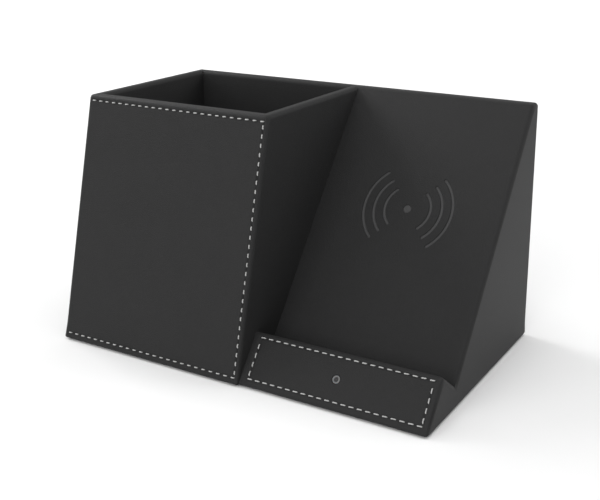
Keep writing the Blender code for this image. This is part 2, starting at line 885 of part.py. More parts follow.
def bezel_size():
    """Outer width and height of the inlet's bezel."""
    around = 2 * (BEZEL_CLEARANCE + BEZEL_WALL)
    return INLET_WIDTH + around, INLET_HEIGHT + around


def inlet():
    """The power inlet: a steel shell, the blade with its base inside it, and a plastic bezel."""
    place = {"steps": INLET_STEPS, "x": CHARGER_MID, "y": INLET_LEVEL}
    inner_width = INLET_WIDTH - 2 * INLET_WALL
    inner_height = INLET_HEIGHT - 2 * INLET_WALL
    collar(
        "inlet_shell",
        rounded(INLET_WIDTH, INLET_HEIGHT, INLET_HEIGHT / 2 - INLET_END_FLAT, **place),
        rounded(inner_width, inner_height, inner_height / 2 - INLET_END_FLAT, **place),
        INLET_MOUTH - INLET_LENGTH,
        INLET_MOUTH,
        "steel",
        along="Y",
    )
    rear = INLET_MOUTH - INLET_LENGTH
    step = rear + TONGUE_BASE_LENGTH
    tip = rear + TONGUE_LENGTH
    base = TONGUE_BASE / 2
    blade = TONGUE_THICKNESS / 2
    profile = [
        (rear, -base),
        (step, -base),
        (step, -blade),
        (tip, -blade),
        (tip, blade),
        (step, blade),
        (step, base),
        (rear, base),
    ]
    bar(
        "inlet_blade",
        [(y, INLET_LEVEL + z) for y, z in profile],
        CHARGER_MID - TONGUE_WIDTH / 2,
        CHARGER_MID + TONGUE_WIDTH / 2,
        "chip_plastic",
        along="X",
    )
    width, height = bezel_size()
    hole_width = INLET_WIDTH + 2 * BEZEL_CLEARANCE
    hole_height = INLET_HEIGHT + 2 * BEZEL_CLEARANCE
    collar(
        "inlet_bezel",
        rounded(width, height, height / 2 - BEZEL_END_FLAT, **place),
        rounded(hole_width, hole_height, hole_height / 2 - BEZEL_END_FLAT, **place),
        BACK - BOARD_IN,
        BEZEL_FACE,
        "tray_plastic",
        along="Y",
    )


def indicator(lip_frame, lip_board, lip_cover):
    """The charging light: a ring-shaped light guide with a dark core, and its lamp on a small board."""
    centre = {"x": INDICATOR_ASIDE, "y": INDICATOR_HEIGHT}
    hole = bars_cutter(
        "indicator_cutter",
        [circle(INDICATOR_OUTER + GAP, INDICATOR_SIDES, **centre)],
        -BOARD_IN - OVERSHOOT,
        OVERSHOOT,
        frame=lip_frame,
    )
    cut(lip_board, hole)
    cut(lip_cover, hole)
    face = -INDICATOR_SINK
    rear = face - INDICATOR_LENGTH
    collar(
        "indicator_ring",
        circle(INDICATOR_OUTER, INDICATOR_SIDES, **centre),
        circle(INDICATOR_INNER, INDICATOR_SIDES, **centre),
        rear,
        face,
        "light_guide",
        frame=lip_frame,
    )
    bar(
        "indicator_core",
        circle(INDICATOR_INNER - GAP / 2, CORE_SIDES, **centre),
        rear,
        face - INDICATOR_SINK,
        "chip_plastic",
        frame=lip_frame,
    )
    board_front = -BEHIND_BOARD
    bar(
        "lamp_board",
        rectangle(
            INDICATOR_ASIDE - LAMP_BOARD_WIDTH / 2,
            INDICATOR_ASIDE + LAMP_BOARD_WIDTH / 2,
            INDICATOR_HEIGHT - LAMP_BOARD_HEIGHT / 2,
            INDICATOR_HEIGHT + LAMP_BOARD_HEIGHT / 2,
        ),
        board_front - LAMP_BOARD_THICKNESS,
        board_front,
        "circuit_laminate",
        frame=lip_frame,
    )
    half = LAMP_SIZE / 2
    lamp_low = board_front + GAP
    bar(
        "indicator_lamp",
        rectangle(
            INDICATOR_ASIDE - half,
            INDICATOR_ASIDE + half,
            INDICATOR_HEIGHT - half,
            INDICATOR_HEIGHT + half,
        ),
        lamp_low,
        lamp_low + LAMP_HEIGHT,
        "light_guide",
        frame=lip_frame,
    )


def to_world(place, up, out):
    """A point on a sloping face, from its foot corner, as a world (y, z)."""
    return place + UP_PANEL * up - INTO_PANEL * out


def coil_leads(coil_level, landing):
    """Two leads from the coil, down the channel and across to the circuit board."""
    coil_outer = COIL_INNER + COIL_PITCH * COIL_TURNS
    clear_of_coil = COIL_CENTRE - coil_outer - 2 * WIRE_RADIUS - GAP
    channel_foot = COIL_CENTRE - CHANNEL_END
    straight_end = (clear_of_coil + channel_foot) / 2 + LEAD_STRAIGHT_END
    for name, side in (("coil_lead_inner", -1), ("coil_lead_outer", 1)):
        x = CHARGER_MID + side * CHANNEL_WIDTH / 4
        route = [(x, *to_world(GROOVE, up, coil_level)) for up in (clear_of_coil, straight_end)]
        for up, drop in LEAD_IN_CHANNEL:
            route.append((x, *to_world(GROOVE, channel_foot + up, coil_level - drop)))
        for aside, before, height in LEAD_FALL:
            end_x = x + side * aside
            route.append((end_x, landing - before, height))
        route.append((end_x, landing + LEAD_TAIL, ON_PCB))
        wire(name, smooth_route(route, STEPS_PER_SPAN), WIRE_RADIUS, "copper")


def lamp_cable(landing):
    """The lamp's cable along the floor, up to the circuit board's front edge."""
    behind_board = BEHIND_BOARD + LAMP_BOARD_THICKNESS + GAP + WIRE_RADIUS
    lamp_y, lamp_z = to_world(LIP_FOOT, INDICATOR_HEIGHT, -behind_board)
    floor_level = ABOVE_FLOOR + WIRE_RADIUS + GAP
    x = CHARGER_MID + INDICATOR_ASIDE - LAMP_CABLE_ASIDE
    end_x = x - LAMP_CABLE_END_ASIDE
    route = [
        (x, lamp_y, lamp_z),
        (x, lamp_y + LAMP_CABLE_DROP_RUN, floor_level + LAMP_CABLE_DROP_RISE),
        (x, lamp_y + LAMP_CABLE_FLOOR_RUN, floor_level),
        (x - LAMP_CABLE_BEND, (lamp_y + landing) / 2, floor_level),
        (end_x, landing - LAMP_CABLE_LIFT, floor_level),
        (end_x, landing - LAMP_CABLE_END, PCB_UNDER + PCB_THICKNESS / 2),
    ]
    wire("lamp_cable", smooth_route(route, STEPS_PER_SPAN), WIRE_RADIUS, "cable_sheath")


def main():
    """Builds the organiser in an empty scene."""
    for old in list(bpy.data.objects):
        bpy.data.objects.remove(old, do_unlink=True)
    panel_tilt = math.pi / 2 - PANEL_LEAN
    front_frame = frame_at("cup_front_frame", (0, FRONT, 0), math.pi / 2 - CUP_LEAN)
    lip_frame = frame_at("lip_frame", (CHARGER_MID, FRONT, 0), panel_tilt)
    panel_frame = frame_at("panel_frame", (CHARGER_MID, *GROOVE), panel_tilt)
    cup_boards()
    cup_linings()
    cup_covers()
    cup_thread(front_frame)
    lip_board, panel_board = charger_boards()
    lip_cover, panel_cover = charger_covers()
    deboss_sign(panel_cover, panel_frame)
    lip_thread(lip_frame)
    back_pieces()
    base_pad()
    coil_level = coil_stack(panel_frame, panel_board)
    circuit_board()
    board_parts()
    inlet()
    indicator(lip_frame, lip_board, lip_cover)
    landing = PCB_MIDDLE - PCB_DEPTH / 2 + LANDING_FROM_EDGE
    coil_leads(coil_level, landing)
    lamp_cable(landing)


main()
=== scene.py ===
"""Looks of the desk organiser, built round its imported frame.

Leatherette skins lie on two wedge-shaped bodies with rounded edges, a pen cup on the left and a
charging stand on the right. Sewn seams, a lining, a debossed wave sign, an indicator light, a power
inlet and a foam pad finish them. Everything is in metres, +Z up, in the frame of the part.
"""

import json
import math

import bpy
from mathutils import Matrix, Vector, noise
from mathutils.geometry import delaunay_2d_cdt


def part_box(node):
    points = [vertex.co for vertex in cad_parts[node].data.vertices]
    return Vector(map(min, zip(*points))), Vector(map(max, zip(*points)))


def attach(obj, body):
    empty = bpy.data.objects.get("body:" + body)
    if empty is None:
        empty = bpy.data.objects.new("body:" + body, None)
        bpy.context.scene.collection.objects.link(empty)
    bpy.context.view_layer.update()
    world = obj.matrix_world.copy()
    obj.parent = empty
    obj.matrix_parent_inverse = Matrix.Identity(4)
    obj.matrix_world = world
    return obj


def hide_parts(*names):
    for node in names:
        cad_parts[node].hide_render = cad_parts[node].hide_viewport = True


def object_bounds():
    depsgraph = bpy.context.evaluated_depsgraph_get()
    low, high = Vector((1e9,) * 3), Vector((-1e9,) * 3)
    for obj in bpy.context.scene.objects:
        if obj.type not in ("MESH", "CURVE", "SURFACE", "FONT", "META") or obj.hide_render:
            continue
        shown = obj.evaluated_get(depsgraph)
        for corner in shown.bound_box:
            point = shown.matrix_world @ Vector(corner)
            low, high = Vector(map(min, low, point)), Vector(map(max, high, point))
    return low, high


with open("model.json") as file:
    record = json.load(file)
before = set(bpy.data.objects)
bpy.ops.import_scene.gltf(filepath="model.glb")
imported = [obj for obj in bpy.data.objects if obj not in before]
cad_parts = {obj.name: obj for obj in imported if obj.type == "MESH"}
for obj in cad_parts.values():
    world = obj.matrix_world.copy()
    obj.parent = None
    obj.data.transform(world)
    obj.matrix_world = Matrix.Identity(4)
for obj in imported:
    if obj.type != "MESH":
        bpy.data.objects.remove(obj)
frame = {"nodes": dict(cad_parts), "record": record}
cad_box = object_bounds()

MM = 0.001

# Stations of the frame
LOW, HIGH = cad_box
LEFT = LOW.x
RIGHT = HIGH.x
BACK = HIGH.y
FRONT = -BACK
HEIGHT = HIGH.z
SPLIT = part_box("cup_right_cover")[1].x
RIM_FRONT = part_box("cup_rim_cover")[0].y
CHARGER_MID = (SPLIT + RIGHT) / 2
MOUNTS = {mount["name"]: mount for mount in frame["record"]["mounts"]}

# Rounding of the edges. The skins start at FOOT above the desk, and the radius grows up to FOOT_EASE
FOOT = 0.6 * MM
EDGE_RADIUS = 2.0 * MM
FOOT_RADIUS = 1.1 * MM
FOOT_EASE = 9 * MM
MOUTH_RADIUS = 2.2 * MM

# Build-up of the soft parts. A skin turns under its foot by FOLD
SKIN = 0.85 * MM
LEAST_SKIN = 0.15 * MM
WALL = 6.0 * MM
FOLD = 4.6 * MM
FLOOR_LINING_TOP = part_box("cup_floor_lining")[1].z
FLOOR_DISH = 0.12 * MM
FLOOR_DROP = 0.05 * MM
DISH_FADE = 12 * MM
LINING_CORNER = 1.2 * MM
PAD_INSET = 5.0 * MM
PAD_CORNER = 4.0 * MM

# The slow unevenness of glued leatherette: two heights, their waves, and its fade at the edges
SWELL = 0.045 * MM
SWELL_WAVE = 24 * MM
RIPPLE = 0.02 * MM
RIPPLE_WAVE = 9 * MM
SWELL_FADE = 6 * MM

# Gaps: between skins, beside the cup's wall, round the floor lining and round the openings
SEAM_GAP = 0.01 * MM
CLEARANCE = 0.02 * MM
FLOOR_GAP = 0.04 * MM
LIGHT_GAP = 0.12 * MM
INLET_GAP = 0.15 * MM

# How the leatherette rolls into the two openings: how deep, and over what width
OPENING_SINK = 0.3 * MM
LIGHT_ROLL = 0.42 * MM
INLET_ROLL = 0.6 * MM

# Fineness of the meshes, and the angles from which an edge is drawn sharp
ROLL_SHARES = (0.14, 0.3, 0.46, 0.62, 0.8, 1.0, 1.25)
TURN_SHARES = (0.2, 0.45, 0.7, 1.0)
SKIN_STEP = 4 * MM
BACK_STEP = 6 * MM
BORDER_STEP = 3 * MM
RIM_STEP = 3.5 * MM
LINING_COLUMNS = 24
LINING_ROWS = 22
SLOT_STEPS = 12
CORNER_STEPS = 8
INLET_STEPS = 14
LIGHT_SIDES = 64
LIGHT_HOLE_SIDES = 48
DOT_SIDES = 40
SHEET_CREASE = math.radians(50)
THREAD_CREASE = math.radians(60)
SOLID_CREASE = math.radians(38)

# Stitches, how they pull the leatherette in, and how much painted shade darkens their trough and holes
CUP_STITCH = 1.5 * MM
LIP_STITCH = 1.95 * MM
THREAD_RADIUS = 0.28 * MM
THREAD_SINK = 0.12 * MM
PLY_LOBE = 0.13
PLY_TURNS = 1.6
TUBE_SIDES = 12
SLANT = 2.5
SLANT_SPREAD = 2.0
SEAM_SINK = 0.22 * MM
SEAM_WIDTH = 0.62 * MM
SEAM_REACH = 2.5 * MM
SEAM_FADE = 1.2 * MM
SEAM_SLACK = 0.45
SLACK_REACH = 0.7 * MM
SEAM_PAINTED_SHADE = 0.6
HOLE_SINK = 0.40 * MM
HOLE_WIDTH = 0.36 * MM
HOLE_LENGTH = 0.34 * MM
HOLE_PAINTED_SHADE = 0.7

# The cup's seam: rows measured up the front's slope, and the column from the right edge
CUP_PITCH = 4.14 * MM
CUP_ROW_COUNT = 25
CUP_FIRST = 3.7 * MM
CUP_TOP_ROW = 2.67 * MM
CUP_FOOT_ROW = 4.07 * MM
CUP_COLUMN = 2.14 * MM
CUP_COLUMN_PITCH = 4.151 * MM
CUP_COLUMN_COUNT = 28
CUP_COLUMN_RISE = 2.33 * MM

# The seam on the cup's left side: the rows end SIDE_LAST before the column, which stands at the rear
SIDE_ASIDE = 0.5 * MM
SIDE_LAST = 2.4 * MM
SIDE_ROW_SPARE = 3 * MM
SIDE_COLUMN_SPARE = 4 * MM

# The lip's seam
LIP_PITCH = 4.024 * MM
LIP_ROW_COUNT = 22
LIP_FIRST = 0.97 * MM
LIP_TOP_ROW = 2.48 * MM
LIP_FOOT_ROW = 5.37 * MM
LIP_LEFT_COLUMN = 3.98 * MM
LIP_RIGHT_COLUMN = 3.6 * MM
LIP_COLUMN_PITCH = 4.28 * MM
LIP_COLUMN_COUNT = 4
LIP_COLUMN_RISE = 2.5 * MM

# Debossed wave sign: its middle, its three arcs on each side, and its walls
SIGN_X = CHARGER_MID - 0.25 * MM
SIGN_UP = 76.3 * MM
WAVE_RADII = (11.7 * MM, 17.25 * MM, 22.5 * MM)
WAVE_HALF_ANGLE = math.radians(48.5)
WAVE_HALF_WIDTH = 0.65 * MM
DOT_RADIUS = 2.0 * MM
SIGN_DEPTH = 0.5 * MM
SIGN_WALL = 0.14 * MM

# Indicator in the lip
LIGHT_X = CHARGER_MID - 0.45 * MM
LIGHT_UP = 15.16 * MM
LIGHT_RADIUS = 1.85 * MM
CORE_RADIUS = 1.0 * MM
LIGHT_REAR = -3.3 * MM


# ---------------------------------------------------------------- side profiles


def line(point, inward):
    """A straight edge of a side profile, as a (y, z) point and the unit normal into the body."""
    return Vector(point), Vector(inward).normalized()


def inset(edge, distance):
    """The same edge, moved into the body."""
    point, inward = edge
    return point + inward * distance, inward


def meet(first, second):
    """The (y, z) corner where two edges cross."""
    (p, n), (q, m) = first, second
    cross = n.x * m.y - n.y * m.x
    a = n.dot(p)
    b = m.dot(q)
    return Vector(((a * m.y - b * n.y) / cross, (n.x * b - m.x * a) / cross))


def sides(loop):
    """Each item of a loop with the one after it, such as the ends of an outline's sides."""
    return zip(loop, loop[1:] + loop[:1])


def corners(edges):
    """The corners of the outline that these edges bound, taken in order."""
    return [meet(a, b) for a, b in sides(edges)]


def mounted(name):
    """The edge of the side profile in which a mount's flat face lies."""
    mount = MOUNTS[name]
    return line(mount["pos_m"][1:], [-c for c in mount["axis"][1:]])


GROUND = line((0, FOOT), (0, 1))
PANEL = mounted("phone_back_rest")
LEDGE = mounted("phone_foot_rest")
LIP_FRONT = line((FRONT, 0), PANEL[1])
CUP_FRONT = line((FRONT, 0), (HEIGHT, FRONT - RIM_FRONT))
TOP = line((0, HEIGHT), (0, -1))
REAR = line((BACK, 0), (-1, 0))
CHARGER_EDGES = [GROUND, LIP_FRONT, LEDGE, PANEL, TOP, REAR]
CUP_EDGES = [GROUND, CUP_FRONT, TOP, REAR]
UP_LIP = -LEDGE[1]
FLAT_FACES = [Vector((1, 0, 0)), Vector((0, 1, 0)), Vector((0, 0, 1))]
FLAT_FACES += [Vector((0, *edge[1])) for edge in (PANEL, LEDGE, CUP_FRONT)]


def nearest_on(outline, point):
    """The point of an outline that is nearest to a point, and the distance to it."""
    best = None
    reach = math.inf
    for a, b in sides(outline):
        side = b - a
        t = min(max((point - a).dot(side) / side.length_squared, 0.0), 1.0)
        spot = a + side * t
        distance = (point - spot).length
        if distance < reach:
            best = spot
            reach = distance
    return best, reach


def inside(outline, point):
    """Whether a point lies inside an outline."""
    crossed = False
    for a, b in sides(outline):
        if (a.y > point.y) != (b.y > point.y):
            if point.x < a.x + (point.y - a.y) / (b.y - a.y) * (b.x - a.x):
                crossed = not crossed
    return crossed


def ease(low, high, value):
    """0 below low, 1 above high and a smooth rise between."""
    t = min(max((value - low) / (high - low), 0.0), 1.0)
    return t * t * (3 - 2 * t)


class Body:
    """A bar with a side profile, along X, whose outside edges are rounded, less so at the foot."""

    def __init__(self, edges, low, high):
        """The ends at low and high are rounded too. None is an end that isn't."""
        self.edges = edges
        self.core = corners([inset(edge, EDGE_RADIUS) for edge in edges])
        self.low = -math.inf if low is None else low
        self.high = math.inf if high is None else high

    def settle(self, point):
        """Where a point of the sharp bar lies on the rounded bar, and which way faces out there."""
        radius = FOOT_RADIUS + (EDGE_RADIUS - FOOT_RADIUS) * ease(FOOT, FOOT_EASE, point.z)
        core = self.core
        if radius < EDGE_RADIUS:
            core = corners([inset(edge, radius) for edge in self.edges])
        x = min(max(point.x, self.low + radius), self.high - radius)
        side = Vector((point.y, point.z))
        if not inside(core, side):
            side, _ = nearest_on(core, side)
        heart = Vector((x, *side))
        out = (point - heart).normalized()
        return heart + out * radius, out


CUP = Body(CUP_EDGES, LEFT, SPLIT)
CHARGER = Body(CHARGER_EDGES, None, RIGHT)
WHOLE = Body(CHARGER_EDGES, LEFT, RIGHT)


def walk(path, distance):
    """The point at a distance along a path of straight runs; a negative one is before its start."""
    for a, b in zip(path, path[1:]):
        run = (b - a).length
        if distance <= run:
            break
        distance -= run
    else:
        distance += run
    return a + (b - a) * (distance / run)


# ---------------------------------------------------------------- reliefs


def swell(point):
    """The slow unevenness of glued leatherette, in metres."""
    return SWELL * noise.noise(point / SWELL_WAVE) + RIPPLE * noise.noise(point / RIPPLE_WAVE)


class Seam:
    """A straight row of stitches on a face, from its first stitch's middle."""

    def __init__(self, start, step, count, length):
        self.length = length
        self.start = Vector(start)
        self.step = Vector(step)
        self.pitch = self.step.length
        self.way = self.step.normalized()
        self.count = count

    def middles(self):
        """The middle of each stitch."""
        return [self.start + self.step * i for i in range(self.count)]

    def sink(self, spot):
        """How far the thread pulls the leatherette in at a spot, and how much painted shade darkens it there.
        """
        offset = spot - self.start
        along = offset.dot(self.way)
        off = abs(offset.cross(self.way))
        last = self.pitch * (self.count - 1)
        beyond = max(-along, along - last, 0.0) - self.length / 2
        if off > SEAM_REACH or beyond > SEAM_FADE:
            return 0.0, 0.0
        index = min(max(round(along / self.pitch), 0), self.count - 1)
        hole = abs(abs(along - index * self.pitch) - self.length / 2)
        between = ease(0.0, SLACK_REACH, abs(along - index * self.pitch) - self.length / 2)
        trough = math.exp(-((off / SEAM_WIDTH) ** 2)) * (1 - SEAM_SLACK * between)
        pit = math.exp(-((off / HOLE_WIDTH) ** 2) - (hole / HOLE_LENGTH) ** 2)
        fade = 1 - ease(0.0, SEAM_FADE, beyond)
        # Painted shade: the colour darkens along the seam's trough and round each needle hole.
        painted_seam_shade = SEAM_PAINTED_SHADE * trough + HOLE_PAINTED_SHADE * pit
        return (SEAM_SINK * trough + HOLE_SINK * pit) * fade, painted_seam_shade * fade

    def lines(self):
        """Lines along the row that give the mesh room for the trough and the holes."""
        across = Vector((-self.way.y, self.way.x))
        half = self.length / 2
        room = 0.45 * MM
        near = (-half - room, -half, -half + room, 0.0, half - room, half, half + room)
        far = (-half, half)
        made = []
        for off, stops in ((0.0, near), (0.28, near), (0.62, near), (1.05, far), (1.7, far)):
            for side in (1, -1) if off else (1,):
                shift = across * (off * MM * side)
                row = [middle + self.way * stop + shift for middle in self.middles() for stop in stops]
                made.append(row)
        return made


def seam_relief(seams):
    """A relief made by several seams: its depth, and how much painted shade darkens the leatherette."""

    def relief(spot):
        found = [seam.sink(spot) for seam in seams]
        return max(depth for depth, _ in found), min(1.0, max(painted_seam_shade for _, painted_seam_shade in found))

    return relief


# ---------------------------------------------------------------- sheets


def roll_lines(low, high, fixed, upright, radius=EDGE_RADIUS):
    """Lines beside the edge at fixed, so that the mesh can bend round it. Upright ones run in v."""
    made = []
    for share in ROLL_SHARES:
        for side in (-1, 1):
            at = fixed + side * share * radius
            ends = ((at, low), (at, high)) if upright else ((low, at), (high, at))
            made.append([Vector(end) for end in ends])
    return made


def foot_reach(edge):
    """How far up an edge the rounding of its foot goes."""
    return FOOT_RADIUS * math.tan(GROUND[1].angle(edge[1]) / 2)


def spread(outline, spacing):
    """Points on a grid inside an outline, away from its edges."""
    lows = [min(p[i] for p in outline) for i in (0, 1)]
    highs = [max(p[i] for p in outline) for i in (0, 1)]
    counts = [max(2, round((high - low) / spacing)) for low, high in zip(lows, highs)]
    made = []
    for i in range(1, counts[0]):
        for j in range(1, counts[1]):
            x = lows[0] + (highs[0] - lows[0]) * i / counts[0]
            y = lows[1] + (highs[1] - lows[1]) * j / counts[1]
            spot = Vector((x, y))
            if inside(outline, spot) and nearest_on(outline, spot)[1] > spacing / 3:
                made.append(spot)
    return made


def divide(a, b, longest):
    """Points from a up to b, no further apart than longest."""
    count = max(1, math.ceil((b - a).length / longest))
    return [a + (b - a) * (i / count) for i in range(count)]


def flat_mesh(outline, lines, holes, spots):
    """Triangles that fill an outline round its holes and keep these lines and spots."""
    points = []
    edges = []
    border = [p for a, b in sides(outline) for p in divide(a, b, BORDER_STEP)]
    for loop in [border, *holes]:
        first = len(points)
        points += loop
        edges += [(first + i, first + (i + 1) % len(loop)) for i in range(len(loop))]
    for row in lines:
        first = len(points)
        split = [p for a, b in zip(row, row[1:]) for p in divide(a, b, BORDER_STEP)] + [row[-1]]
        points += split
        edges += [(first + i, first + i + 1) for i in range(len(split) - 1)]
    points += spots
    scaled = [p / MM for p in points]
    placed, _, faces, *_ = delaunay_2d_cdt(scaled, edges, [], 0, 1e-4, False)
    placed = [p * MM for p in placed]
    kept = []
    for face in faces:
        centre = sum((placed[i] for i in face), Vector((0, 0))) / len(face)
        if inside(outline, centre) and not any(inside(hole, centre) for hole in holes):
            kept.append(face)
    used = sorted({i for face in kept for i in face})
    order = {old: new for new, old in enumerate(used)}
    return [placed[i] for i in used], [[order[i] for i in face] for face in kept]


class Sheet:
    """A sheet with thickness, gathered point by point: its outer side, its inner side, its marks."""

    def __init__(self):
        self.outer = []
        self.inner = []
        self.marks = {"painted_shade": [], "edge_wear_and_highlight": []}

    def add(self, outer, inner, edge_wear_and_highlight=0.0, painted_shade=0.0):
        """Adds a point of each side, how much wear and painted highlight lighten the sheet there, and how
        much painted shade darkens it.
        """
        self.outer.append(outer)
        self.inner.append(inner)
        self.marks["edge_wear_and_highlight"].append(edge_wear_and_highlight)
        self.marks["painted_shade"].append(painted_shade)

    def close(self, name, faces, slot, nodes):
        """Closes the sheet round its edge and adds it to the object."""
        count = len(self.outer)
        edge_uses = {}
        for face in faces:
            for a, b in sides(face):
                edge_uses.setdefault((min(a, b), max(a, b)), []).append((a, b))
        all_faces = [tuple(face) for face in faces]
        all_faces += [tuple(i + count for i in reversed(face)) for face in faces]
        for uses in edge_uses.values():
            if len(uses) == 1:
                a, b = uses[0]
                all_faces.append((b, a, a + count, b + count))
        marks = {label: values + [0.0] * count for label, values in self.marks.items()}
        return add_piece(name, self.outer + self.inner, all_faces, SHEET_CREASE, slot, nodes, marks)


def add_piece(name, points, faces, crease, slot, nodes, marks=None):
    """Adds a piece to the object, in place of CAD nodes. Marks are values stored at its points."""
    mesh = bpy.data.meshes.new(name)
    mesh.from_pydata(points, [], faces)
    for label, values in (marks or {}).items():
        mesh.attributes.new(label, "FLOAT", "POINT").data.foreach_set("value", values)
    mesh.shade_smooth()
    mesh.set_sharp_from_angle(angle=crease)
    piece = bpy.data.objects.new(name, mesh)
    bpy.context.scene.collection.objects.link(piece)
    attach(piece, "root")
    if nodes:
        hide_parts(*nodes)
    mesh.materials.append(FINISHES[slot])
    return piece


def nothing(_spot):
    """A face without relief."""
    return 0.0, 0.0


def skin(
    name, nodes, body, place, outline, lines=(), holes=(), relief=nothing, depth=None, spacing=SKIN_STEP
):
    """A leatherette skin over a face of a rounded body.

    place turns a spot (u, v) of the flat cut into a point of the sharp body. relief gives the depth
    below the surface there and how much painted shade darkens it. depth gives the sheet's own thickness.
    """
    shrunk = pull_in(outline, SEAM_GAP)
    spots, faces = flat_mesh(shrunk, lines, holes, spread(shrunk, spacing))
    sheet = Sheet()
    for spot in spots:
        surface, out = body.settle(place(spot))
        # relief also gives painted shade, which darkens the colour in seams and round openings.
        sink, painted_shade = relief(spot)
        edge = ease(0.0, SWELL_FADE, nearest_on(outline, spot)[1])
        height = swell(surface) * edge - sink
        thickness = depth(surface, out) if depth else max(SKIN, sink + LEAST_SKIN)
        # Rounded edges get a lighter colour: edge wear and painted highlight.
        edge_wear_and_highlight = 1 - max(abs(out.dot(flat)) for flat in FLAT_FACES)
        sheet.add(surface + out * height, surface - out * thickness, edge_wear_and_highlight, painted_shade)
    face_out(sheet.outer, faces, body, place, spots)
    return sheet.close(name, faces, "leatherette", nodes)


def face_out(outer, faces, body, place, spots):
    """Turns every face of a sheet the way its body faces there."""
    for face in faces:
        a, b, c = (outer[i] for i in face[:3])
        middle = sum((spots[i] for i in face), Vector((0, 0))) / len(face)
        _, out = body.settle(place(middle))
        if (b - a).cross(c - a).dot(out) < 0:
            face.reverse()


def pull_in(outline, distance):
    """An outline moved inwards by a small distance."""
    area = sum(a.cross(b) for a, b in sides(outline))
    turn = 1 if area > 0 else -1
    made = []
    for before, at, after in zip(outline[-1:] + outline[:-1], outline, outline[1:] + outline[:1]):
        first = Vector((before.y - at.y, at.x - before.x)).normalized() * turn
        second = Vector((at.y - after.y, after.x - at.x)).normalized() * turn
        middle = (first + second).normalized()
        made.append(at + middle * (distance / middle.dot(first)))
    return made


# ---------------------------------------------------------------- stitches

# Half of a stitch's arch, from its hole to its middle: share of the half length, and height
HALF_ARCH = (
    (1.0, -0.75 * MM),
    (1.0, -0.42 * MM),
    (0.965, -0.16 * MM),
    (0.88, 0.0),
    (0.68, 0.07 * MM),
    (0.36, 0.1 * MM),
)
ARCH_TOP = (0.0, 0.105 * MM)
ARCH = [(-share, height) for share, height in HALF_ARCH] + [ARCH_TOP] + list(reversed(HALF_ARCH))


def add_stitch(points, faces, body, place, middle, way, length, slant):
    """Adds one stitch of two-ply thread, from hole to hole over the face."""
    turned = Vector((
        way.x * math.cos(slant) - way.y * math.sin(slant),
        way.x * math.sin(slant) + way.y * math.cos(slant),
    ))
    half = length / 2
    ends = [body.settle(place(middle + turned * (side * half)))[0] for side in (-1, 1)]
    centre, out = body.settle(place(middle))
    along = (ends[1] - ends[0]).normalized()
    across = out.cross(along).normalized()
    spine = [centre + along * (share * half) + out * (height - THREAD_SINK) for share, height in ARCH]
    first = len(points)
    for i, spot in enumerate(spine):
        before = spine[max(i - 1, 0)]
        after = spine[min(i + 1, len(spine) - 1)]
        way_here = (after - before).normalized()
        up = across.cross(way_here).normalized()
        if up.dot(out) < 0 and abs(way_here.dot(out)) < 0.9:
            up = -up
        twist = 2 * math.pi * PLY_TURNS * i / (len(spine) - 1)
        for j in range(TUBE_SIDES):
            angle = 2 * math.pi * j / TUBE_SIDES
            radius = THREAD_RADIUS * (1 + PLY_LOBE * math.cos(2 * (angle - twist)))
            points.append(spot + across * (radius * math.cos(angle)) + up * (radius * math.sin(angle)))
    last = len(points) - TUBE_SIDES
    for a in range(first, last, TUBE_SIDES):
        b = a + TUBE_SIDES
        for j in range(TUBE_SIDES):
            k = (j + 1) % TUBE_SIDES
            faces.append((a + j, b + j, b + k, a + k))
    faces.append(tuple(range(first, first + TUBE_SIDES)))
    faces.append(tuple(reversed(range(last, last + TUBE_SIDES))))


def stitches(name, nodes, body, place, seams):
    """All the stitches of a panel, as one piece."""
    points = []
    faces = []
    for seam in seams:
        for i, middle in enumerate(seam.middles()):
            chance = noise.noise(Vector((i * 1.7, seam.pitch * 900, 3.1)))
            slant = math.radians(SLANT + SLANT_SPREAD * chance)
            add_stitch(points, faces, body, place, middle, seam.way, seam.length, slant)
    add_piece(name, points, faces, THREAD_CREASE, "thread", nodes)


# ---------------------------------------------------------------- finishes


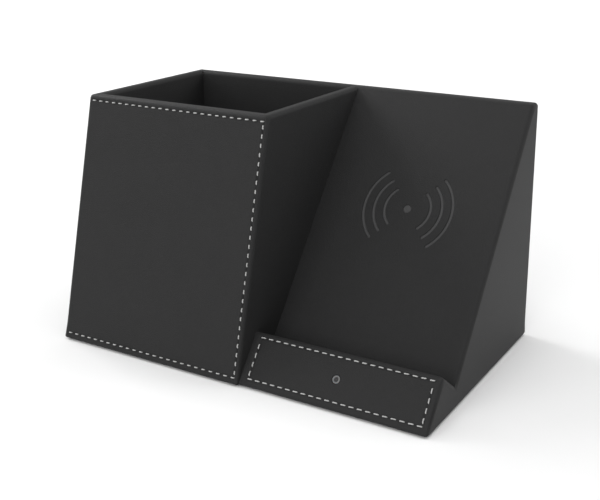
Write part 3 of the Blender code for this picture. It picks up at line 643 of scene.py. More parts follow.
class Finish:
    """A procedural material: a Principled shader, and short ways to add nodes to it."""

    def __init__(self, name, roughness, metallic=0.0, specular=0.5):
        self.made = bpy.data.materials.new(name)
        self.made.use_nodes = True
        self.tree = self.made.node_tree
        self.shader = self.tree.nodes["Principled BSDF"]
        self.shader.inputs["Roughness"].default_value = roughness
        self.shader.inputs["Metallic"].default_value = metallic
        self.shader.inputs["Specular IOR Level"].default_value = specular
        self.place = self.node("ShaderNodeTexCoord").outputs["Object"]

    def node(self, kind, **values):
        """A node, with its own settings and the values of its inputs."""
        made = self.tree.nodes.new(kind)
        for key, value in values.items():
            if hasattr(made, key):
                setattr(made, key, value)
            else:
                self.feed(made, key.replace("_", " "), value)
        return made

    def feed(self, node, key, value):
        """Sets an input to a value, or links it to an output."""
        if isinstance(value, bpy.types.NodeSocket):
            self.tree.links.new(value, node.inputs[key])
        else:
            node.inputs[key].default_value = value

    def grain(self, size, detail=3.0, stretch=(1, 1, 1)):
        """Cloudy noise whose patches are about this size, in metres."""
        mapped = self.node("ShaderNodeMapping", Vector=self.place, Scale=stretch).outputs[0]
        values = {"Vector": mapped, "Scale": 1 / size, "Detail": detail, "Roughness": 0.55}
        return self.node("ShaderNodeTexNoise", **values).outputs["Fac"]

    def cells(self, size, feature="F1"):
        """Cells of about this size: the distance inside them, or to their edges."""
        made = self.node("ShaderNodeTexVoronoi", feature=feature, Vector=self.place, Scale=1 / size)
        return made.outputs["Distance"]

    def math(self, operation, a, b=0.0, c=0.0):
        """One step of arithmetic."""
        made = self.node("ShaderNodeMath", operation=operation)
        for i, value in enumerate((a, b, c)):
            self.feed(made, i, value)
        return made.outputs[0]

    def span(self, value, low, high, to_low=0.0, to_high=1.0):
        """A value moved from one range to another, and kept in it."""
        ends = {"From_Min": low, "From_Max": high, "To_Min": to_low, "To_Max": to_high}
        return self.node("ShaderNodeMapRange", Value=value, **ends).outputs[0]

    def mark(self, name):
        """A mark stored on the mesh, such as where painted shade darkens it."""
        return self.node("ShaderNodeAttribute", attribute_name=name).outputs["Fac"]

    def tint(self, factor, first, second):
        """A colour between two colours."""
        made = self.node("ShaderNodeMix", data_type="RGBA")
        self.feed(made, 0, factor)
        self.feed(made, 6, first if isinstance(first, bpy.types.NodeSocket) else (*first, 1.0))
        self.feed(made, 7, second if isinstance(second, bpy.types.NodeSocket) else (*second, 1.0))
        return made.outputs[2]

    def color(self, value):
        """Gives the shader its colour."""
        self.feed(self.shader, "Base Color", value)

    def rough(self, value):
        """Gives the shader its roughness."""
        self.feed(self.shader, "Roughness", value)

    def bump(self, *layers):
        """Gives the shader a bump of several (height output, depth in metres) layers."""
        normal = None
        for height, depth in layers:
            made = self.node("ShaderNodeBump", Height=height, Distance=depth, Strength=1.0)
            if normal:
                self.feed(made, "Normal", normal)
            normal = made.outputs[0]
        self.feed(self.shader, "Normal", normal)


def shade(color, factor):
    """A colour made lighter or darker."""
    return tuple(c * factor for c in color)


def leather(name, color, roughness, grain_size, grain_depth):
    """Coated leatherette: pebbles with fine creases, slow changes of tone, painted shade in seams and
    openings, and rounded edges lighter from wear and painted highlight.
    """
    finish = Finish(name, roughness, specular=0.20)
    pebble = finish.cells(grain_size)
    crease = finish.cells(grain_size * 1.35, feature="DISTANCE_TO_EDGE")
    fine = finish.grain(grain_size * 0.35, detail=4.0)
    cloud = finish.grain(17 * MM, detail=2.0)
    painted_shade = finish.mark("painted_shade")
    edge_wear_and_highlight = finish.mark("edge_wear_and_highlight")
    speckle = finish.math("MULTIPLY_ADD", pebble, 0.5, finish.math("MULTIPLY", fine, 0.6))
    base = finish.tint(finish.span(speckle, 0.2, 0.85), shade(color, 0.84), shade(color, 1.16))
    slow = finish.tint(finish.span(cloud, 0.3, 0.7), shade(color, 0.94), shade(color, 1.06))
    mixed = finish.tint(0.5, base, slow)
    # Rounded edges are lighter: partly edge wear, partly painted highlight.
    worn_and_highlit = finish.tint(finish.math("MULTIPLY", edge_wear_and_highlight, 0.8), mixed, shade(color, 1.3))
    # Painted shade: darker colour in seam troughs, needle holes and the rolls into openings.
    finish.color(finish.tint(finish.math("MULTIPLY", painted_shade, 0.75), worn_and_highlit, shade(color, 0.35)))
    smoother = finish.math("MULTIPLY_ADD", edge_wear_and_highlight, -0.10, finish.span(fine, 0.3, 0.7, -0.04, 0.04))
    finish.rough(finish.math("ADD", smoother, roughness))
    finish.bump(
        (finish.span(crease, 0.0, 0.22), grain_depth),
        (finish.math("SUBTRACT", 1.0, pebble), grain_depth * 0.6),
        (fine, grain_depth * 0.5),
    )
    finish.shader.inputs["Sheen Weight"].default_value = 0.025
    finish.shader.inputs["Sheen Roughness"].default_value = 0.5
    return finish


def leatherette():
    """The outside's black leatherette, with the lighter floor of the sign."""
    finish = leather("fine_grain_leatherette", (0.0142, 0.0142, 0.0144), 0.58, 0.62 * MM, 0.05 * MM)
    signed = finish.mark("sign")
    plain = finish.shader.inputs["Base Color"].links[0].from_socket
    finish.color(finish.tint(signed, plain, (0.050, 0.050, 0.0505)))
    return finish.made


def lining():
    """The cup's lining: the same leatherette, duller."""
    return leather("lining_leatherette", (0.0185, 0.0185, 0.0187), 0.70, 0.7 * MM, 0.04 * MM).made


def thread():
    """Polyester thread: fine fibres, and slightly different stitches."""
    finish = Finish("sewing_thread", 0.78, specular=0.3)
    fibre = finish.grain(0.09 * MM)
    each = finish.grain(5 * MM, detail=1.0)
    base = finish.tint(finish.span(fibre, 0.3, 0.7), (0.33, 0.33, 0.325), (0.48, 0.48, 0.475))
    finish.color(finish.tint(finish.span(each, 0.35, 0.65, 0.0, 0.35), base, (0.38, 0.38, 0.375)))
    finish.bump((fibre, 0.03 * MM))
    finish.shader.inputs["Sheen Weight"].default_value = 0.25
    return finish.made


def plain_finish(
    name, color, roughness, size, depth, vary=0.12, metallic=0.0, specular=0.5, stretch=(1, 1, 1)
):
    """A moulded, rolled or pressed finish: fine grain, slow colour change and patchy gloss."""
    finish = Finish(name, roughness, metallic, specular)
    fine = finish.grain(size, detail=4.0, stretch=stretch)
    slow = finish.grain(size * 14, detail=2.0)
    mixed = finish.tint(finish.span(fine, 0.3, 0.7), shade(color, 1 - vary), shade(color, 1 + vary))
    toned = finish.tint(finish.span(slow, 0.35, 0.65), shade(color, 1 - vary / 2), shade(color, 1 + vary / 2))
    finish.color(finish.tint(0.4, mixed, toned))
    finish.rough(finish.span(slow, 0.3, 0.7, roughness - 0.06, roughness + 0.06))
    finish.bump((fine, depth))
    return finish


def fibreboard():
    """Pressed wood fibres, lighter and darker, with a fine rough face."""
    color = (0.36, 0.25, 0.16)
    return plain_finish("pressed_fibreboard", color, 0.85, 0.5 * MM, 0.05 * MM, 0.25, specular=0.25).made


def foam():
    """Closed-cell foam: small dark cells with soft walls."""
    finish = Finish("closed_cell_foam", 0.9, specular=0.25)
    cell = finish.cells(0.55 * MM)
    finish.color(finish.tint(finish.span(cell, 0.1, 0.6), (0.010, 0.010, 0.0105), (0.018, 0.018, 0.0185)))
    finish.bump((cell, 0.08 * MM), (finish.grain(0.2 * MM), 0.03 * MM))
    return finish.made


def circuit_laminate():
    """Green solder mask over a glass weave."""
    finish = Finish("solder_mask", 0.42)
    across = finish.grain(0.35 * MM, detail=1.0, stretch=(1, 0.2, 1))
    along = finish.grain(0.35 * MM, detail=1.0, stretch=(0.2, 1, 1))
    weave = finish.math("MAXIMUM", across, along)
    finish.color(finish.tint(finish.span(weave, 0.4, 0.7), (0.010, 0.10, 0.042), (0.020, 0.15, 0.065)))
    finish.bump((weave, 0.02 * MM))
    finish.shader.inputs["Coat Weight"].default_value = 0.3
    return finish.made


def copper():
    """Enamelled copper: fine grain under a thin clear coat."""
    finish = plain_finish("enamelled_copper", (0.72, 0.30, 0.13), 0.3, 0.2 * MM, 0.01 * MM, 0.1, 1.0)
    finish.shader.inputs["Coat Weight"].default_value = 0.5
    return finish.made


def steel():
    """Plain steel with a brushed surface."""
    color = (0.58, 0.58, 0.60)
    lines = (0.15, 1, 1)
    return plain_finish("plain_steel", color, 0.33, 0.25 * MM, 0.012 * MM, 0.07, 1.0, stretch=lines).made


def light_guide():
    """A frosted light guide, off."""
    finish = plain_finish("frosted_light_guide", (0.115, 0.116, 0.118), 0.4, 0.3 * MM, 0.006 * MM, vary=0.05)
    finish.shader.inputs["Subsurface Weight"].default_value = 0.1
    finish.shader.inputs["Subsurface Scale"].default_value = 0.5 * MM
    return finish.made


FINISHES = {
    "leatherette": leatherette(),
    "lining": lining(),
    "fibreboard": fibreboard(),
    "thread": thread(),
    "foam": foam(),
    "tray_plastic": plain_finish("black_moulding", (0.018, 0.018, 0.019), 0.52, 0.25 * MM, 0.015 * MM).made,
    "circuit_laminate": circuit_laminate(),
    "chip_plastic": plain_finish("chip_compound", (0.010, 0.010, 0.011), 0.5, 0.12 * MM, 0.01 * MM).made,
    "capacitor_case": plain_finish("capacitor_resin", (0.42, 0.06, 0.04), 0.4, 0.4 * MM, 0.01 * MM).made,
    "ferrite": plain_finish("sintered_ferrite", (0.085, 0.085, 0.09), 0.6, 0.1 * MM, 0.01 * MM, 0.2).made,
    "copper": copper(),
    "steel": steel(),
    "light_guide": light_guide(),
    "cable_sheath": plain_finish("cable_jacket", (0.035, 0.035, 0.036), 0.55, 0.3 * MM, 0.01 * MM).made,
}


def finish_frame():
    """Gives every node of the frame the finish of its material slot."""
    for part in frame["record"]["subparts"]:
        node = frame["nodes"][part["node"]]
        node.data.materials.clear()
        node.data.materials.append(FINISHES[part["material_slot"]])


# ---------------------------------------------------------------- faces of the two bodies


def on_path(path, start=0.0):
    """Places a spot (x, v) on a sharp body: v runs along a path of its profile, from start."""

    def place(spot):
        side = walk(path, spot.y - start)
        return Vector((spot.x, *side))

    return place


def on_face(foot, brow, inwards):
    """Places a spot (x, v) on a face: v is 0 at its foot, and less on the strip turned under it."""
    return on_path([foot + Vector((inwards * FOLD, 0)), foot, brow], -FOLD)


def on_end(station, inwards):
    """Places a spot (y, z) on a body's end; below its foot it turns under."""

    def place(spot):
        if spot.y >= FOOT:
            return Vector((station, *spot))
        return Vector((station + inwards * (FOOT - spot.y), spot.x, FOOT))

    return place


def box_outline(x_low, x_high, v_low, v_high):
    """A rectangular cut."""
    return [Vector(p) for p in ((x_low, v_low), (x_high, v_low), (x_high, v_high), (x_low, v_high))]


def folded(x_low, x_high, v_high, mitre_low, mitre_high):
    """A cut with a strip that turns under the foot, mitred where another strip meets it."""
    places = (
        (x_low + mitre_low * FOLD, -FOLD),
        (x_high - mitre_high * FOLD, -FOLD),
        (x_high, 0.0),
        (x_high, v_high),
        (x_low, v_high),
        (x_low, 0.0),
    )
    return [Vector(p) for p in places]


CUP_FOOT = meet(GROUND, CUP_FRONT)
CUP_BROW = meet(CUP_FRONT, TOP)
CUP_SLOPE = (CUP_BROW - CUP_FOOT).length
LIP_FOOT = meet(GROUND, LIP_FRONT)
LIP_CREST = meet(LIP_FRONT, LEDGE)
LIP_SLOPE = (LIP_CREST - LIP_FOOT).length
GROOVE = meet(LEDGE, PANEL)
PANEL_BROW = meet(PANEL, TOP)
PANEL_SLOPE = (PANEL_BROW - GROOVE).length
REAR_BROW = meet(TOP, REAR)
REAR_FOOT = meet(REAR, GROUND)

# Heights on a face are measured up its slope from the desk, and spots from the face's own foot
CUP_FOOT_V = CUP_FOOT_ROW - FOOT / CUP_FRONT[1].x
LIP_FOOT_V = LIP_FOOT_ROW - FOOT / LIP_FRONT[1].x
LIGHT_V = LIGHT_UP - FOOT / LIP_FRONT[1].x


CUP_FACE = on_face(CUP_FOOT, CUP_BROW, 1)
LIP_FACE = on_face(LIP_FOOT, LIP_CREST, 1)
REAR_FACE = on_face(REAR_FOOT, REAR_BROW, -1)


def cup_seams():
    """The seam on the cup's front: two rows from the left edge, and a column down the right."""
    levels = (CUP_SLOPE - CUP_TOP_ROW, CUP_FOOT_V)
    made = [Seam((LEFT + CUP_FIRST, v), (CUP_PITCH, 0), CUP_ROW_COUNT, CUP_STITCH) for v in levels]
    start = (SPLIT - CUP_COLUMN, CUP_FOOT_V + CUP_COLUMN_RISE)
    return made + [Seam(start, (0, CUP_COLUMN_PITCH), CUP_COLUMN_COUNT, CUP_STITCH)]


def lip_seams():
    """The rectangular seam on the lip."""
    columns = (SPLIT + LIP_LEFT_COLUMN, RIGHT - LIP_RIGHT_COLUMN)
    levels = (LIP_SLOPE - LIP_TOP_ROW, LIP_FOOT_V)
    first = columns[0] + LIP_FIRST
    low = LIP_FOOT_V + LIP_COLUMN_RISE
    made = [Seam((first, v), (LIP_PITCH, 0), LIP_ROW_COUNT, LIP_STITCH) for v in levels]
    made += [Seam((x, low), (0, LIP_COLUMN_PITCH), LIP_COLUMN_COUNT, LIP_STITCH) for x in columns]
    return made


def side_seams():
    """The cup's left side: the front's rows carried on, and a column down its rear edge."""
    foot_z = CUP_FOOT_ROW * CUP_FRONT[1].x
    top_z = HEIGHT - CUP_TOP_ROW * CUP_FRONT[1].x
    rear = BACK - CUP_COLUMN - SIDE_ASIDE
    made = []
    for level in (top_z, foot_z):
        front = meet(CUP_FRONT, line((0, level), (0, -1))).x
        count = math.floor((rear - front - SIDE_ROW_SPARE) / CUP_PITCH) + 1
        start = rear - SIDE_LAST - (count - 1) * CUP_PITCH
        made.append(Seam((start, level), (CUP_PITCH, 0), count, CUP_STITCH))
    count = math.floor((top_z - foot_z - SIDE_COLUMN_SPARE) / CUP_COLUMN_PITCH) + 1
    spare = (top_z - foot_z - (count - 1) * CUP_COLUMN_PITCH) / 2
    made.append(Seam((rear, foot_z + spare), (0, CUP_COLUMN_PITCH), count, CUP_STITCH))
    return made


def seam_lines(seams):
    """The mesh lines of several seams."""
    return [row for seam in seams for row in seam.lines()]


def cup_front():
    """The cup's front skin and its stitches."""
    seams = cup_seams()
    outline = folded(LEFT, SPLIT, CUP_SLOPE, 1, 0)
    lines = roll_lines(-FOLD, CUP_SLOPE, LEFT, True) + roll_lines(-FOLD, CUP_SLOPE, SPLIT, True)
    lines += roll_lines(LEFT, SPLIT, 0.0, False, foot_reach(CUP_FRONT))
    lines += roll_lines(LEFT, SPLIT, CUP_SLOPE, False)
    lines += seam_lines(seams)
    skin("cup_front_skin", ["cup_front_cover"], CUP, CUP_FACE, outline, lines, relief=seam_relief(seams))
    stitches("cup_front_stitches", ["cup_front_thread"], CUP, CUP_FACE, seams)


def end_lines(edges, turn_under):
    """Mesh lines beside every edge of an end's outline."""
    made = []
    for share in ROLL_SHARES:
        ring = corners([inset(edge, share * EDGE_RADIUS) for edge in edges])
        made.append(ring + ring[:1])
    if turn_under:
        low = min(p.x for p in corners(edges))
        high = max(p.x for p in corners(edges))
        for share in TURN_SHARES:
            level = FOOT - share * EDGE_RADIUS
            made.append([Vector((low, level)), Vector((high, level))])
    return made


def end_outline(edges):
    """An end's outline, with the strip that turns under its foot."""
    rim = corners(edges)
    return rim + [rim[-1] + Vector((-FOLD, -FOLD)), rim[0] + Vector((FOLD, -FOLD))]


def cup_left():
    """The cup's left skin and its stitches."""
    seams = side_seams()
    place = on_end(LEFT, 1)
    lines = end_lines(CUP_EDGES, True) + seam_lines(seams)
    relief = seam_relief(seams)
    skin("cup_left_skin", ["cup_left_cover"], CUP, place, end_outline(CUP_EDGES), lines, relief=relief)
    stitches("cup_left_stitches", [], CUP, place, seams)


def charger_end():
    """The charger's plain right-hand skin."""
    place = on_end(RIGHT, -1)
    lines = end_lines(CHARGER_EDGES, True)
    outline = end_outline(CHARGER_EDGES)
    skin("charger_end_skin", ["charger_end_cover"], WHOLE, place, outline, lines)


def cup_right():
    """The cup's right skin, which shows above the charging panel."""
    place = on_end(SPLIT, -1)
    lines = end_lines(CUP_EDGES, False)
    skin("cup_right_skin", ["cup_right_cover"], CUP, place, corners(CUP_EDGES), lines)


def lip():
    """The lip's skin, with its seam and the hole for the indicator."""
    seams = lip_seams()
    low = SPLIT + CLEARANCE
    outline = folded(low, RIGHT, LIP_SLOPE, 0, 1)
    lines = roll_lines(-FOLD, LIP_SLOPE, RIGHT, True)
    lines += roll_lines(low, RIGHT, 0.0, False, foot_reach(LIP_FRONT))
    lines += roll_lines(low, RIGHT, LIP_SLOPE, False)
    lines += seam_lines(seams)
    centre = Vector((LIGHT_X, LIGHT_V))
    rim = LIGHT_RADIUS + LIGHT_GAP
    hole = ring_points(centre, rim, LIGHT_HOLE_SIDES)
    for wider in (0.12 * MM, 0.28 * MM, 0.5 * MM):
        loop = ring_points(centre, rim + wider, LIGHT_HOLE_SIDES)
        lines.append(loop + loop[:1])
    sewn = seam_relief(seams)

    def relief(spot):
        sink, painted_shade = sewn(spot)
        rolled = 1 - ease(0.0, LIGHT_ROLL, (spot - centre).length - rim)
        # Painted shade: the roll into the indicator's hole is darkened too.
        return max(sink, OPENING_SINK * rolled**2), max(painted_shade, 0.5 * rolled)

    skin("lip_skin", ["lip_cover"], CHARGER, LIP_FACE, outline, lines, [hole], relief)
    stitches("lip_stitches", ["lip_thread"], CHARGER, LIP_FACE, seams)


def ring_points(centre, radius, count):
    """Points round a circle."""
    turn = 2 * math.pi / count
    angles = [i * turn for i in range(count)]
    return [centre + Vector((radius * math.cos(angle), radius * math.sin(angle))) for angle in angles]


def ledge():
    """The skin of the ledge that a phone stands on."""
    low = SPLIT + CLEARANCE
    run = (GROOVE - LIP_CREST).length
    lines = roll_lines(0, run, RIGHT, True) + roll_lines(low, RIGHT, 0.0, False)
    place = on_path([LIP_CREST, GROOVE])
    skin("ledge_skin", ["ledge_cover"], CHARGER, place, box_outline(low, RIGHT, 0, run), lines)


def wave_loop(radius, middle, wider):
    """The outline of one wave of the sign, grown or shrunk."""
    centre = Vector((SIGN_X, SIGN_UP))
    half = WAVE_HALF_WIDTH + wider
    start = middle - WAVE_HALF_ANGLE
    end = middle + WAVE_HALF_ANGLE

    def at(angle, reach):
        return centre + Vector((math.cos(angle), math.sin(angle))) * reach

    def cap(angle, turn):
        tip = at(angle, radius)
        turns = [turn + math.pi * i / CORNER_STEPS for i in range(1, CORNER_STEPS)]
        return [tip + Vector((math.cos(t), math.sin(t))) * half for t in turns]

    steps = max(16, round(radius / (0.5 * MM)))
    outer = [at(start + (end - start) * i / steps, radius + half) for i in range(steps + 1)]
    inner = [at(end + (start - end) * i / steps, radius - half) for i in range(steps + 1)]
    return outer + cap(end, end) + inner + cap(start, start + math.pi)


def wave_distance(spot):
    """How far a spot is outside the sign's nearest shape; inside it is negative."""
    offset = spot - Vector((SIGN_X, SIGN_UP))
    best = offset.length - DOT_RADIUS
    lean = math.atan2(offset.y, abs(offset.x))
    swing = min(max(lean, -WAVE_HALF_ANGLE), WAVE_HALF_ANGLE)
    folded_spot = Vector((abs(offset.x), offset.y))
    for radius in WAVE_RADII:
        spine = Vector((math.cos(swing), math.sin(swing))) * radius
        best = min(best, (folded_spot - spine).length - WAVE_HALF_WIDTH)
    return best


def sign_relief(spot):
    """The debossed sign: a flat floor with steep, slightly soft walls."""
    depth = SIGN_DEPTH * (1 - ease(-SIGN_WALL, SIGN_WALL, wave_distance(spot)))
    return depth, 0.0


def sign_lines():
    """Mesh lines along the walls of the sign."""
    made = []
    for wider in (-0.26 * MM, -SIGN_WALL, -0.05 * MM, 0.05 * MM, SIGN_WALL, 0.26 * MM, 0.6 * MM):
        loops = [ring_points(Vector((SIGN_X, SIGN_UP)), DOT_RADIUS + wider, DOT_SIDES)]
        loops += [wave_loop(radius, middle, wider) for radius in WAVE_RADII for middle in (0, math.pi)]
        made += [loop + loop[:1] for loop in loops]
    return made


def cup_round(x):
    """How high the cup's rounded right-hand edge is at a station."""
    across = min(max(x - (SPLIT - EDGE_RADIUS), 0.0), EDGE_RADIUS)
    return HEIGHT - EDGE_RADIUS + math.sqrt(EDGE_RADIUS**2 - across**2)


def panel_rise(place, low, reach):
    """The cut of the panel's skin where it rises past the cup's rounded edge, from low to reach."""
    steps = 12
    made = []
    for i in range(steps + 1):
        v = PANEL_SLOPE - EDGE_RADIUS + 3.4 * MM * i / steps
        surface, _ = CHARGER.settle(place(Vector((low, v))))
        above = max(0.0, surface.z - (HEIGHT - EDGE_RADIUS))
        left = SPLIT - EDGE_RADIUS + math.sqrt(max(0.0, EDGE_RADIUS**2 - above**2)) + CLEARANCE
        made.append(Vector((max(left, reach), v)))
    made = [p for p in made if p.x > reach + SEAM_GAP]
    return made + [Vector((reach, made[-1].y + 0.4 * MM))]


def panel_depth(surface, out):
    """The thickness of the panel's skin, which thins out over the cup's rounded edge."""
    if surface.x >= SPLIT:
        return SKIN
    if surface.y > BACK - EDGE_RADIUS:
        room = HEIGHT - cup_round(surface.x)
    else:
        room = (surface.z - cup_round(surface.x)) / max(out.z, 0.3)
    return min(SKIN, max(room - CLEARANCE, CLEARANCE))


def panel():
    """The charging panel's skin with its sign; it folds over the top and fills up to the cup's rim."""
    place = on_path([GROOVE, PANEL_BROW, REAR_BROW])
    run = PANEL_SLOPE + (REAR_BROW - PANEL_BROW).length
    low = SPLIT + CLEARANCE
    reach = SPLIT - EDGE_RADIUS + CLEARANCE
    outline = [Vector(p) for p in ((low, 0.0), (RIGHT, 0.0), (RIGHT, run), (reach, run))]
    outline += panel_rise(place, low, reach)[::-1]
    lines = roll_lines(0, run, RIGHT, True)
    lines += roll_lines(reach, RIGHT, PANEL_SLOPE, False)
    lines += roll_lines(reach, RIGHT, run, False)
    lines += sign_lines()
    for share in (0.25, 0.5, 0.75, 0.9, 1.0, 1.3):
        x = reach + share * EDGE_RADIUS
        lines.append([Vector((x, PANEL_SLOPE - 2 * MM)), Vector((x, run))])
    nodes = ["charging_panel_cover"]
    piece = skin(
        "charging_panel_skin", nodes, CHARGER, place, outline, lines, [], sign_relief, panel_depth
    )
    mark_sign(piece)


def mark_sign(piece):
    """Marks the floor of the sign for its finish, on the skin's outer side, whose points come first."""
    mesh = piece.data
    layer = mesh.attributes.new("sign", "FLOAT", "POINT")
    half = len(mesh.vertices) // 2
    panel_up = Vector((0, PANEL_BROW.x - GROOVE.x, PANEL_BROW.y - GROOVE.y)).normalized()
    start = Vector((0, *GROOVE))
    for i in range(half):
        point = mesh.vertices[i].co
        spot = Vector((point.x, (point - start).dot(panel_up)))
        layer.data[i].value = 1 - ease(-SIGN_WALL, 0.04 * MM, wave_distance(spot))


def rear():
    """The back's skin across both bodies, with the inlet's opening."""
    top = (REAR_BROW - REAR_FOOT).length
    outline = folded(LEFT, RIGHT, top, 1, 1)
    lines = roll_lines(-FOLD, top, LEFT, True) + roll_lines(-FOLD, top, RIGHT, True)
    lines += roll_lines(LEFT, RIGHT, 0.0, False, foot_reach(REAR))
    lines += roll_lines(LEFT, RIGHT, top, False)
    low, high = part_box("inlet_bezel")
    centre = Vector(((low.x + high.x) / 2, (low.z + high.z) / 2 - FOOT))
    width = high.x - low.x + 2 * INLET_GAP
    height = high.z - low.z + 2 * INLET_GAP
    hole = stadium(centre, width, height)
    for wider in (0.15 * MM, 0.35 * MM, 0.7 * MM):
        loop = stadium(centre, width + 2 * wider, height + 2 * wider)
        lines.append(loop + loop[:1])

    def relief(spot):
        rolled = 1 - ease(0.0, INLET_ROLL, nearest_on(hole, spot)[1])
        # Painted shade: the roll into the inlet's opening is darkened.
        return OPENING_SINK * rolled**2, 0.4 * rolled

    skin("back_skin", ["back_cover"], WHOLE, REAR_FACE, outline, lines, [hole], relief, spacing=BACK_STEP)


def stadium(centre, width, height, count=SLOT_STEPS):
    """A slot with round ends."""
    radius = height / 2
    reach = width / 2 - radius
    made = []
    for side, start in ((1, -math.pi / 2), (-1, math.pi / 2)):
        for i in range(count + 1):
            angle = start + math.pi * i / count
            spot = Vector((side * reach + radius * math.cos(angle), radius * math.sin(angle)))
            made.append(centre + spot)
    return made


# ---------------------------------------------------------------- the cup's rim and lining


def mouth_side(i):
    """One side of the cup's mouth: its two outer corners and its two inner corners, as (x, y)."""
    front = meet(inset(CUP_FRONT, WALL), TOP).x
    outer = box_outline(LEFT, SPLIT, CUP_BROW.x, BACK)
    inner = box_outline(LEFT + WALL, SPLIT - WALL, front, BACK - WALL)
    j = (i + 1) % 4
    return outer[i], outer[j], inner[i], inner[j]


def mouth_roll(edge_point, inwards, distance):
    """A point rolled over the mouth's edge; distance is back from it, or down it when negative."""
    radius = MOUTH_RADIUS
    heart = edge_point - inwards * radius - Vector((0, 0, radius))
    if distance >= 0:
        raw = edge_point - inwards * min(distance, radius)
        spare = -inwards * max(0.0, distance - radius)
    else:
        raw = edge_point - Vector((0, 0, min(-distance, radius)))
        spare = Vector((0, 0, -max(0.0, -distance - radius)))
    out = (raw - heart).normalized()
    return heart + out * radius + spare, out


def grid_faces(columns, rows, loop):
    """Quads of a grid stored column by column."""
    made = []
    for i in range(columns if loop else columns - 1):
        j = (i + 1) % columns
        for k in range(rows - 1):
            made.append([i * rows + k, j * rows + k, j * rows + k + 1, i * rows + k + 1])
    return made


def rim():
    """The rim's skin: a ring that rolls over the cup's outer edge and into its mouth."""
    sheet = Sheet()
    outer_steps = (0.0, 0.14, 0.3, 0.46, 0.62, 0.8, 1.0, 1.3)
    inner_steps = (1.25, 1.0, 0.8, 0.6, 0.45, 0.3, 0.15, 0.0)
    rows = len(outer_steps) + 1 + len(inner_steps)
    columns = 0
    for side in range(4):
        a, b, c, d = mouth_side(side)
        way = (b - a).normalized()
        inwards = Vector((-way.y, way.x, 0))
        count = max(2, round((b - a).length / RIM_STEP))
        shares = [0.0, 0.012, 0.025, 0.04]
        shares += [i / count for i in range(1, count) if 0.05 < i / count < 0.95]
        shares += [0.96, 0.975, 0.988]
        for share in shares:
            columns += 1
            out_at = a.lerp(b, share)
            in_at = c.lerp(d, share)
            span = (in_at - out_at).length
            flat_out = Vector((*out_at, HEIGHT))
            flat_in = Vector((*in_at, HEIGHT))
            slide = (flat_out - flat_in).normalized()
            ring = []
            for distance in [step * EDGE_RADIUS for step in outer_steps] + [span / 2]:
                ring.append(CUP.settle(flat_out.lerp(flat_in, max(distance, SEAM_GAP) / span)))
            for step in inner_steps:
                near, out = mouth_roll(flat_in, inwards, max(step * MOUTH_RADIUS, SEAM_GAP))
                back = (near - flat_in).dot(-inwards) / max(-slide.dot(inwards), 0.2)
                ring.append((flat_in + slide * back - Vector((0, 0, HEIGHT - near.z)), out))
            for surface, out in ring:
                # The rim's rounded edges get a lighter colour: edge wear and painted highlight.
                edge_wear_and_highlight = 1 - max(abs(out.x), abs(out.y), abs(out.z))
                sheet.add(surface, surface - out * SKIN, edge_wear_and_highlight)
    sheet.close("cup_rim_skin", grid_faces(columns, rows, True), "leatherette", ["cup_rim_cover"])


def floor_corners():
    """The corners of the cup's floor, as (x, y)."""
    front = meet(inset(CUP_FRONT, WALL), line((0, FLOOR_LINING_TOP), (0, 1))).x
    return box_outline(LEFT + WALL, SPLIT - WALL, front, BACK - WALL)


def linings():
    """The four wall linings, from the mouth's roll down to the floor."""
    names = ("cup_front_lining", "cup_right_lining", "cup_rear_lining", "cup_left_lining")
    low_corners = floor_corners()
    steps = (0.0, 0.15, 0.3, 0.45, 0.6, 0.8, 1.0)
    for side, node in enumerate(names):
        a, b, c, d = mouth_side(side)
        way = (b - a).normalized()
        inwards = Vector((-way.y, way.x, 0))
        low_a = low_corners[side]
        low_b = low_corners[(side + 1) % 4]
        sheet = Sheet()
        for i in range(LINING_COLUMNS + 1):
            share = i / LINING_COLUMNS
            top_at = Vector((*c.lerp(d, share), HEIGHT))
            low_at = Vector((*low_a.lerp(low_b, share), FLOOR_LINING_TOP))
            fall = low_at - top_at
            corner = max(0.0, 1 - min(share, 1 - share) * (c - d).length / LINING_CORNER)
            for step in steps:
                surface, out = mouth_roll(top_at, inwards, -max(step * MOUTH_RADIUS, SEAM_GAP))
                # The roll over the mouth gets a lighter colour: edge wear and painted highlight.
                edge_wear_and_highlight = 1 - max(abs(out.dot(inwards)), abs(out.z))
                sheet.add(surface, surface - out * SKIN, edge_wear_and_highlight)
            wall_out = fall.cross(Vector((way.x, way.y, 0))).normalized()
            wall_out = wall_out if wall_out.dot(inwards) > 0 else -wall_out
            for k in range(1, LINING_ROWS + 1):
                depth = MOUTH_RADIUS + (abs(fall.z) - MOUTH_RADIUS) * k / LINING_ROWS
                spot = top_at + fall * (depth / abs(fall.z))
                edge = min(k, LINING_ROWS - k) / LINING_ROWS
                puff = swell(spot * 1.3) * (1 - corner) * ease(0, 0.2, edge)
                sheet.add(spot + wall_out * puff, spot - wall_out * SKIN)
        rows = len(steps) + LINING_ROWS
        faces = [list(reversed(face)) for face in grid_faces(LINING_COLUMNS + 1, rows, False)]
        sheet.close(node + "_sheet", faces, "lining", [node])


def floor_lining():
    """The lining on the cup's floor, a little dished in the middle."""
    cut = pull_in(floor_corners(), FLOOR_GAP)
    spots, faces = flat_mesh(cut, [], [], spread(cut, SKIN_STEP))
    sheet = Sheet()
    for spot in spots:
        away = ease(0.0, DISH_FADE, nearest_on(cut, spot)[1])
        puff = (swell(Vector((*spot, 0.0))) - FLOOR_DISH) * away
        top = FLOOR_LINING_TOP - FLOOR_DROP + puff
        sheet.add(Vector((*spot, top)), Vector((*spot, FLOOR_LINING_TOP - SKIN)))
    for face in faces:
        a, b, c = (sheet.outer[i] for i in face[:3])
        if (b - a).cross(c - a).z < 0:
            face.reverse()
    sheet.close("cup_floor_lining_sheet", faces, "lining", ["cup_floor_lining"])


# ---------------------------------------------------------------- foot pad, light and inlet


